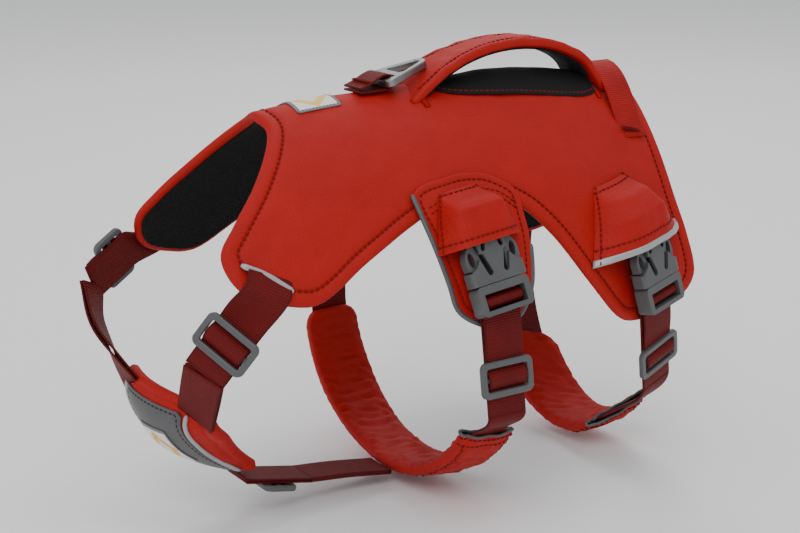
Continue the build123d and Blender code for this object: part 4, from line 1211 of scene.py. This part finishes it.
def build_chest():
    w, h = PAD_WIDE, PAD_TALL * 4
    corner = [(-w * 0.9, 1.2), (0, 0.4), (w * 0.55, 1.5), (w * 0.86, 8), (w * 0.98, h * 0.3), (w, h * 0.6), (w * 0.98, h - 5),
              (w * 0.85, h - 1), (0, h - 0.4), (-w * 0.85, h - 1), (-w * 0.98, h - 5), (-w, h * 0.6), (-w, h * 0.3),
              (-w * 0.99, 6)]
    outline = smooth_line(corner, 2.0, closed=True)
    outer, inner = rolled(0.3, -6.6, 3.4, groove=0.7, at=6.0, puff=0.5, reach=8)
    pad = cloth_piece("chest_cushion", outline, on_chest,
                      lambda d, a, b: outer(d, a, b) + 0.4 * ripple(a, b, 18, 61) * np.clip(d / 6, 0, 1), inner,
                      (0.4, 1.0, 1.9, 3.0, 4.4, 5.3, 6.0, 6.7), 2.6)
    fit(pad, finish("cloth"), stands_for=("chest_pad",))
    left, right, up, down = -0.86 * w, 0.5 * w, 0.5 * PAD_TALL, 3.7 * PAD_TALL
    corner = [(left, up + 2), (left + 2, up), (right - 2, up), (right, up + 2), (right, down - 2), (right - 2, down),
              (left + 2, down), (left, down - 2)]
    dense = []
    for p, q in zip(np.array(corner), np.roll(np.array(corner), -1, axis=0)):
        count = max(int(np.linalg.norm(q - p) / 1.8), 1)
        dense += [p + (q - p) * k / count for k in range(count)]
    top, low = rolled(1.5, 0.6, 0.8)
    panel = cloth_piece("chest_reflective_panel", np.array(dense), on_chest, top, low, (0.3, 0.7, 1.4), 2.6)
    fit(panel, finish("panel"), stands_for=("chest_panel",))
    stitches("chest_panel_stitches", [(lambda p: (p[0] + p[1] * 1.3, p[1]))(on_chest(r[:, 0], r[:, 1]))
                                      for r in split_runs(np.array(dense), 2.4)], finish("dark_thread"))
    for word, t in (("right", -0.92), ("left", 0.56)):
        b = np.linspace(0.5 * PAD_TALL, 3.7 * PAD_TALL, 30)
        base, normal = on_chest(np.full(30, t * w), b)
        pipe = tube("chest_piping_" + word, base + normal * 1.1, 1.35, 10, 0.9, normal)
        fit(pipe, finish("tape"), stands_for=("chest_piping",) if word == "left" else ())
    box = [(-0.5 * w, 1.35 * PAD_TALL), (0.15 * w, 1.35 * PAD_TALL), (0.15 * w, 2.7 * PAD_TALL), (-0.5 * w, 2.7 * PAD_TALL)]
    dense = []
    for p, q in zip(np.array(box), np.roll(np.array(box), -1, axis=0)):
        count = max(int(np.linalg.norm(q - p) / 1.5), 1)
        dense += [p + (q - p) * k / count for k in range(count)]
    top, low = rolled(2.2, 1.5, 0.5)
    label = cloth_piece("chest_woven_label", np.array(dense), on_chest, top, low, (0.2, 0.6), 2.0)
    fit(label, finish("chest_label"), stands_for=("chest_label",))


def build_chest_strap():
    first = np.array((CHEST_STRAP[0][0], 0, CHEST_STRAP[0][1]), float)
    second = np.array((CHEST_STRAP[1][0], 0, CHEST_STRAP[1][1]), float)
    for word, lift in (("outer", 0.75), ("inner", -0.75)):
        ply = straight_webbing("chest_webbing_" + word, first + (0, 0, -lift), second + (0, 0, -lift), (0, 0, -1), 25.0,
                               1.35)
        fit(ply, finish("webbing"), stands_for=("chest_strap",) if lift > 0 else ())
    rest = smooth_line([(x, 0, z) for x, z in CHEST_STRAP[1:]], 3.0)
    across = np.repeat([[0, 1.0, 0]], len(rest), 0)
    tail = webbing("chest_to_girth_webbing", rest, across, path_normals(rest, (0, 1.0, 0)), 25.0, 2.7)
    fit(tail, finish("webbing"), stands_for=("chest_girth_strap",))
    slider = shifted(strap_matrix(first, second, (0, 0, -1), 0.5), 0, 0, 1.4 + 0.3 + 1.6)
    fit(bar_wrap("chest_slider_fold", slider, SLIDER_PATH), finish("webbing"), "chest_slider",
        ("chest_slider_webbing",))


def build_hardware():
    """Gives the moulded and forged pieces of the frame their finishes."""
    for name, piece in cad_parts.items():
        if name == "leash_ring":
            kind = "metal"
        elif name.endswith(("_slider", "_receiver", "_insert", "_prong_fore", "_prong_aft")):
            kind = "plastic"
        else:
            continue
        for held in piece.material_slots:
            held.material = finish(kind)
        if not piece.material_slots:
            piece.data.materials.append(finish(kind))


# ---------------------------------------------------------------- stage
def build_stage():
    low = CAD_BOX[0][2] - 0.004
    bpy.ops.mesh.primitive_plane_add(size=8.0, location=(0, 0, low))
    floor = bpy.context.object
    floor.name = "studio_floor"
    material, tree, surface = blank("studio_floor_paint", Roughness=0.85)
    surface.inputs["Base Color"].default_value = (0.93, 0.93, 0.93, 1.0)
    paint(floor, material)
    world = bpy.data.worlds.new("studio_air")
    world.use_nodes = True
    world.node_tree.nodes["Background"].inputs[0].default_value = (0.93, 0.94, 0.96, 1.0)
    world.node_tree.nodes["Background"].inputs[1].default_value = 0.72
    bpy.context.scene.world = world
    lights = (("key", (-1.0, -1.3, 1.5), 1.1, 13.0), ("fill", (-1.9, 0.6, 0.8), 1.4, 4.0),
              ("back", (0.9, 1.2, 1.4), 1.0, 9.0), ("top", (0.1, -0.1, 1.9), 1.2, 8.0))
    for name, spot, size, power in lights:
        bpy.ops.object.light_add(type="AREA", location=spot)
        lamp = bpy.context.object
        lamp.name = "studio_" + name
        lamp.data.size, lamp.data.energy = size, power
        lamp.rotation_euler = (-Vector(spot)).to_track_quat("-Z", "Y").to_euler()
    data = bpy.data.cameras.new("view")
    data.lens, data.sensor_width = 76.5, 36.0
    data.shift_x, data.shift_y = -0.02125, 0.0131
    view = bpy.data.objects.new("view", data)
    bpy.context.collection.objects.link(view)
    azimuth, height = math.radians(-33.0 - 90.0), math.radians(15.0)
    view.location = Vector((math.cos(azimuth) * math.cos(height), math.sin(azimuth) * math.cos(height), math.sin(height)))
    view.rotation_euler = (-view.location).to_track_quat("-Z", "Y").to_euler()
    bpy.context.scene.camera = view


# ---------------------------------------------------------------- panel, settings and operators
def colour(name, text, value):
    return bpy.props.FloatVectorProperty(name=name, description=text, subtype="COLOR", size=4, min=0.0, max=1.0,
                                         default=value)


class HarnessColours(bpy.types.PropertyGroup):
    """Colours of the harness."""
    cloth: colour("Cloth", "Outer cloth and handle", (0.43, 0.009, 0.007, 1.0))
    webbing: colour("Webbing", "Straps and loops", (0.16, 0.0045, 0.004, 1.0))
    lining: colour("Lining", "Knitted lining", (0.011, 0.011, 0.012, 1.0))
    plastic: colour("Plastic", "Buckles and sliders", (0.085, 0.087, 0.09, 1.0))
    tape: colour("Tape", "Reflective trims", (0.38, 0.38, 0.39, 1.0))
    metal: colour("Metal", "Leash ring", (0.27, 0.27, 0.275, 1.0))


def length(name, text, value):
    return bpy.props.FloatProperty(name=name, description=text, default=value, min=0.0001, unit="LENGTH",
                                   subtype="DISTANCE", precision=5)


class HarnessSizes(bpy.types.PropertyGroup):
    """Sizes of the webbing and of the sewing."""
    webbing_width: length("Webbing width", "Width of the girth and neck webbing", 0.025)
    webbing_thickness: length("Webbing thickness", "Thickness of one ply of webbing", 0.0014)
    stitch_pitch: length("Stitch pitch", "Distance from one stitch to the next", 0.0033)
    stitch_length: length("Stitch length", "Length of one stitch", 0.0025)
    thread_radius: length("Thread radius", "Radius of the sewing thread", 0.00042)


class HARNESS_OT_stage(bpy.types.Operator):
    """Floor, lights and camera"""
    bl_idname = "harness.stage"
    bl_label = "Stage"

    def execute(self, context):
        build_stage()
        return {"FINISHED"}


class HARNESS_OT_saddle(bpy.types.Operator):
    """Padded saddle with its lining and edge stitches"""
    bl_idname = "harness.saddle"
    bl_label = "Saddle"

    def execute(self, context):
        build_saddle()
        return {"FINISHED"}


class HARNESS_OT_back_details(bpy.types.Operator):
    """Label, recess panel and trims"""
    bl_idname = "harness.back_details"
    bl_label = "Back details"

    def execute(self, context):
        build_back_details()
        return {"FINISHED"}


class HARNESS_OT_handle(bpy.types.Operator):
    """Padded handle with stitches and bartacks"""
    bl_idname = "harness.handle"
    bl_label = "Handle"

    def execute(self, context):
        build_handle()
        return {"FINISHED"}


class HARNESS_OT_loops(bpy.types.Operator):
    """Spine loop and ring loop"""
    bl_idname = "harness.loops"
    bl_label = "Loops"

    def execute(self, context):
        build_spine_loop()
        build_ring_loop()
        return {"FINISHED"}


class HARNESS_OT_flap(bpy.types.Operator):
    """Middle flap with piping"""
    bl_idname = "harness.flap"
    bl_label = "Flap"

    def execute(self, context):
        build_flap()
        return {"FINISHED"}


class HARNESS_OT_pockets(bpy.types.Operator):
    """Covers over the two buckles"""
    bl_idname = "harness.pockets"
    bl_label = "Buckle covers"

    def execute(self, context):
        build_pockets()
        return {"FINISHED"}


class HARNESS_OT_girths(bpy.types.Operator):
    """Sleeves, webbing and straps of both girths"""
    bl_idname = "harness.girths"
    bl_label = "Girths"

    def execute(self, context):
        build_girth("front")
        build_girth("rear")
        return {"FINISHED"}


class HARNESS_OT_necks(bpy.types.Operator):
    """Both neck straps"""
    bl_idname = "harness.necks"
    bl_label = "Neck straps"

    def execute(self, context):
        build_neck("left")
        build_neck("right")
        return {"FINISHED"}


class HARNESS_OT_chest(bpy.types.Operator):
    """Chest pad and lower strap"""
    bl_idname = "harness.chest"
    bl_label = "Chest pad"

    def execute(self, context):
        build_chest()
        build_chest_strap()
        return {"FINISHED"}


class HARNESS_OT_hardware(bpy.types.Operator):
    """Finishes of buckles, sliders and ring"""
    bl_idname = "harness.hardware"
    bl_label = "Hardware"

    def execute(self, context):
        build_hardware()
        return {"FINISHED"}


OPERATORS = (HARNESS_OT_stage, HARNESS_OT_saddle, HARNESS_OT_back_details, HARNESS_OT_handle, HARNESS_OT_loops,
             HARNESS_OT_flap, HARNESS_OT_pockets, HARNESS_OT_girths, HARNESS_OT_necks, HARNESS_OT_chest,
             HARNESS_OT_hardware)


class HARNESS_PT_pieces(bpy.types.Panel):
    """Lists the pieces of the harness."""
    bl_label = "Harness"
    bl_space_type = "VIEW_3D"
    bl_region_type = "UI"
    bl_category = "Harness"

    def draw(self, context):
        for name in HarnessSizes.__annotations__:
            self.layout.prop(context.scene.harness_sizes, name)
        for name in HarnessColours.__annotations__:
            self.layout.prop(context.scene.harness_colours, name)
        for operator in OPERATORS:
            self.layout.operator(operator.bl_idname)


CLASSES = (HarnessSizes, HarnessColours, *OPERATORS, HARNESS_PT_pieces)


def register():
    for item in CLASSES:
        bpy.utils.register_class(item)
    bpy.types.Scene.harness_sizes = bpy.props.PointerProperty(type=HarnessSizes)
    bpy.types.Scene.harness_colours = bpy.props.PointerProperty(type=HarnessColours)


def unregister():
    del bpy.types.Scene.harness_colours
    del bpy.types.Scene.harness_sizes
    for item in reversed(CLASSES):
        bpy.utils.unregister_class(item)


def main():
    register()
    bpy.ops.object.select_all(action="DESELECT")
    for operator in OPERATORS:
        getattr(bpy.ops.harness, operator.bl_idname.split(".")[1])()


if __name__ == "__main__":
    main()
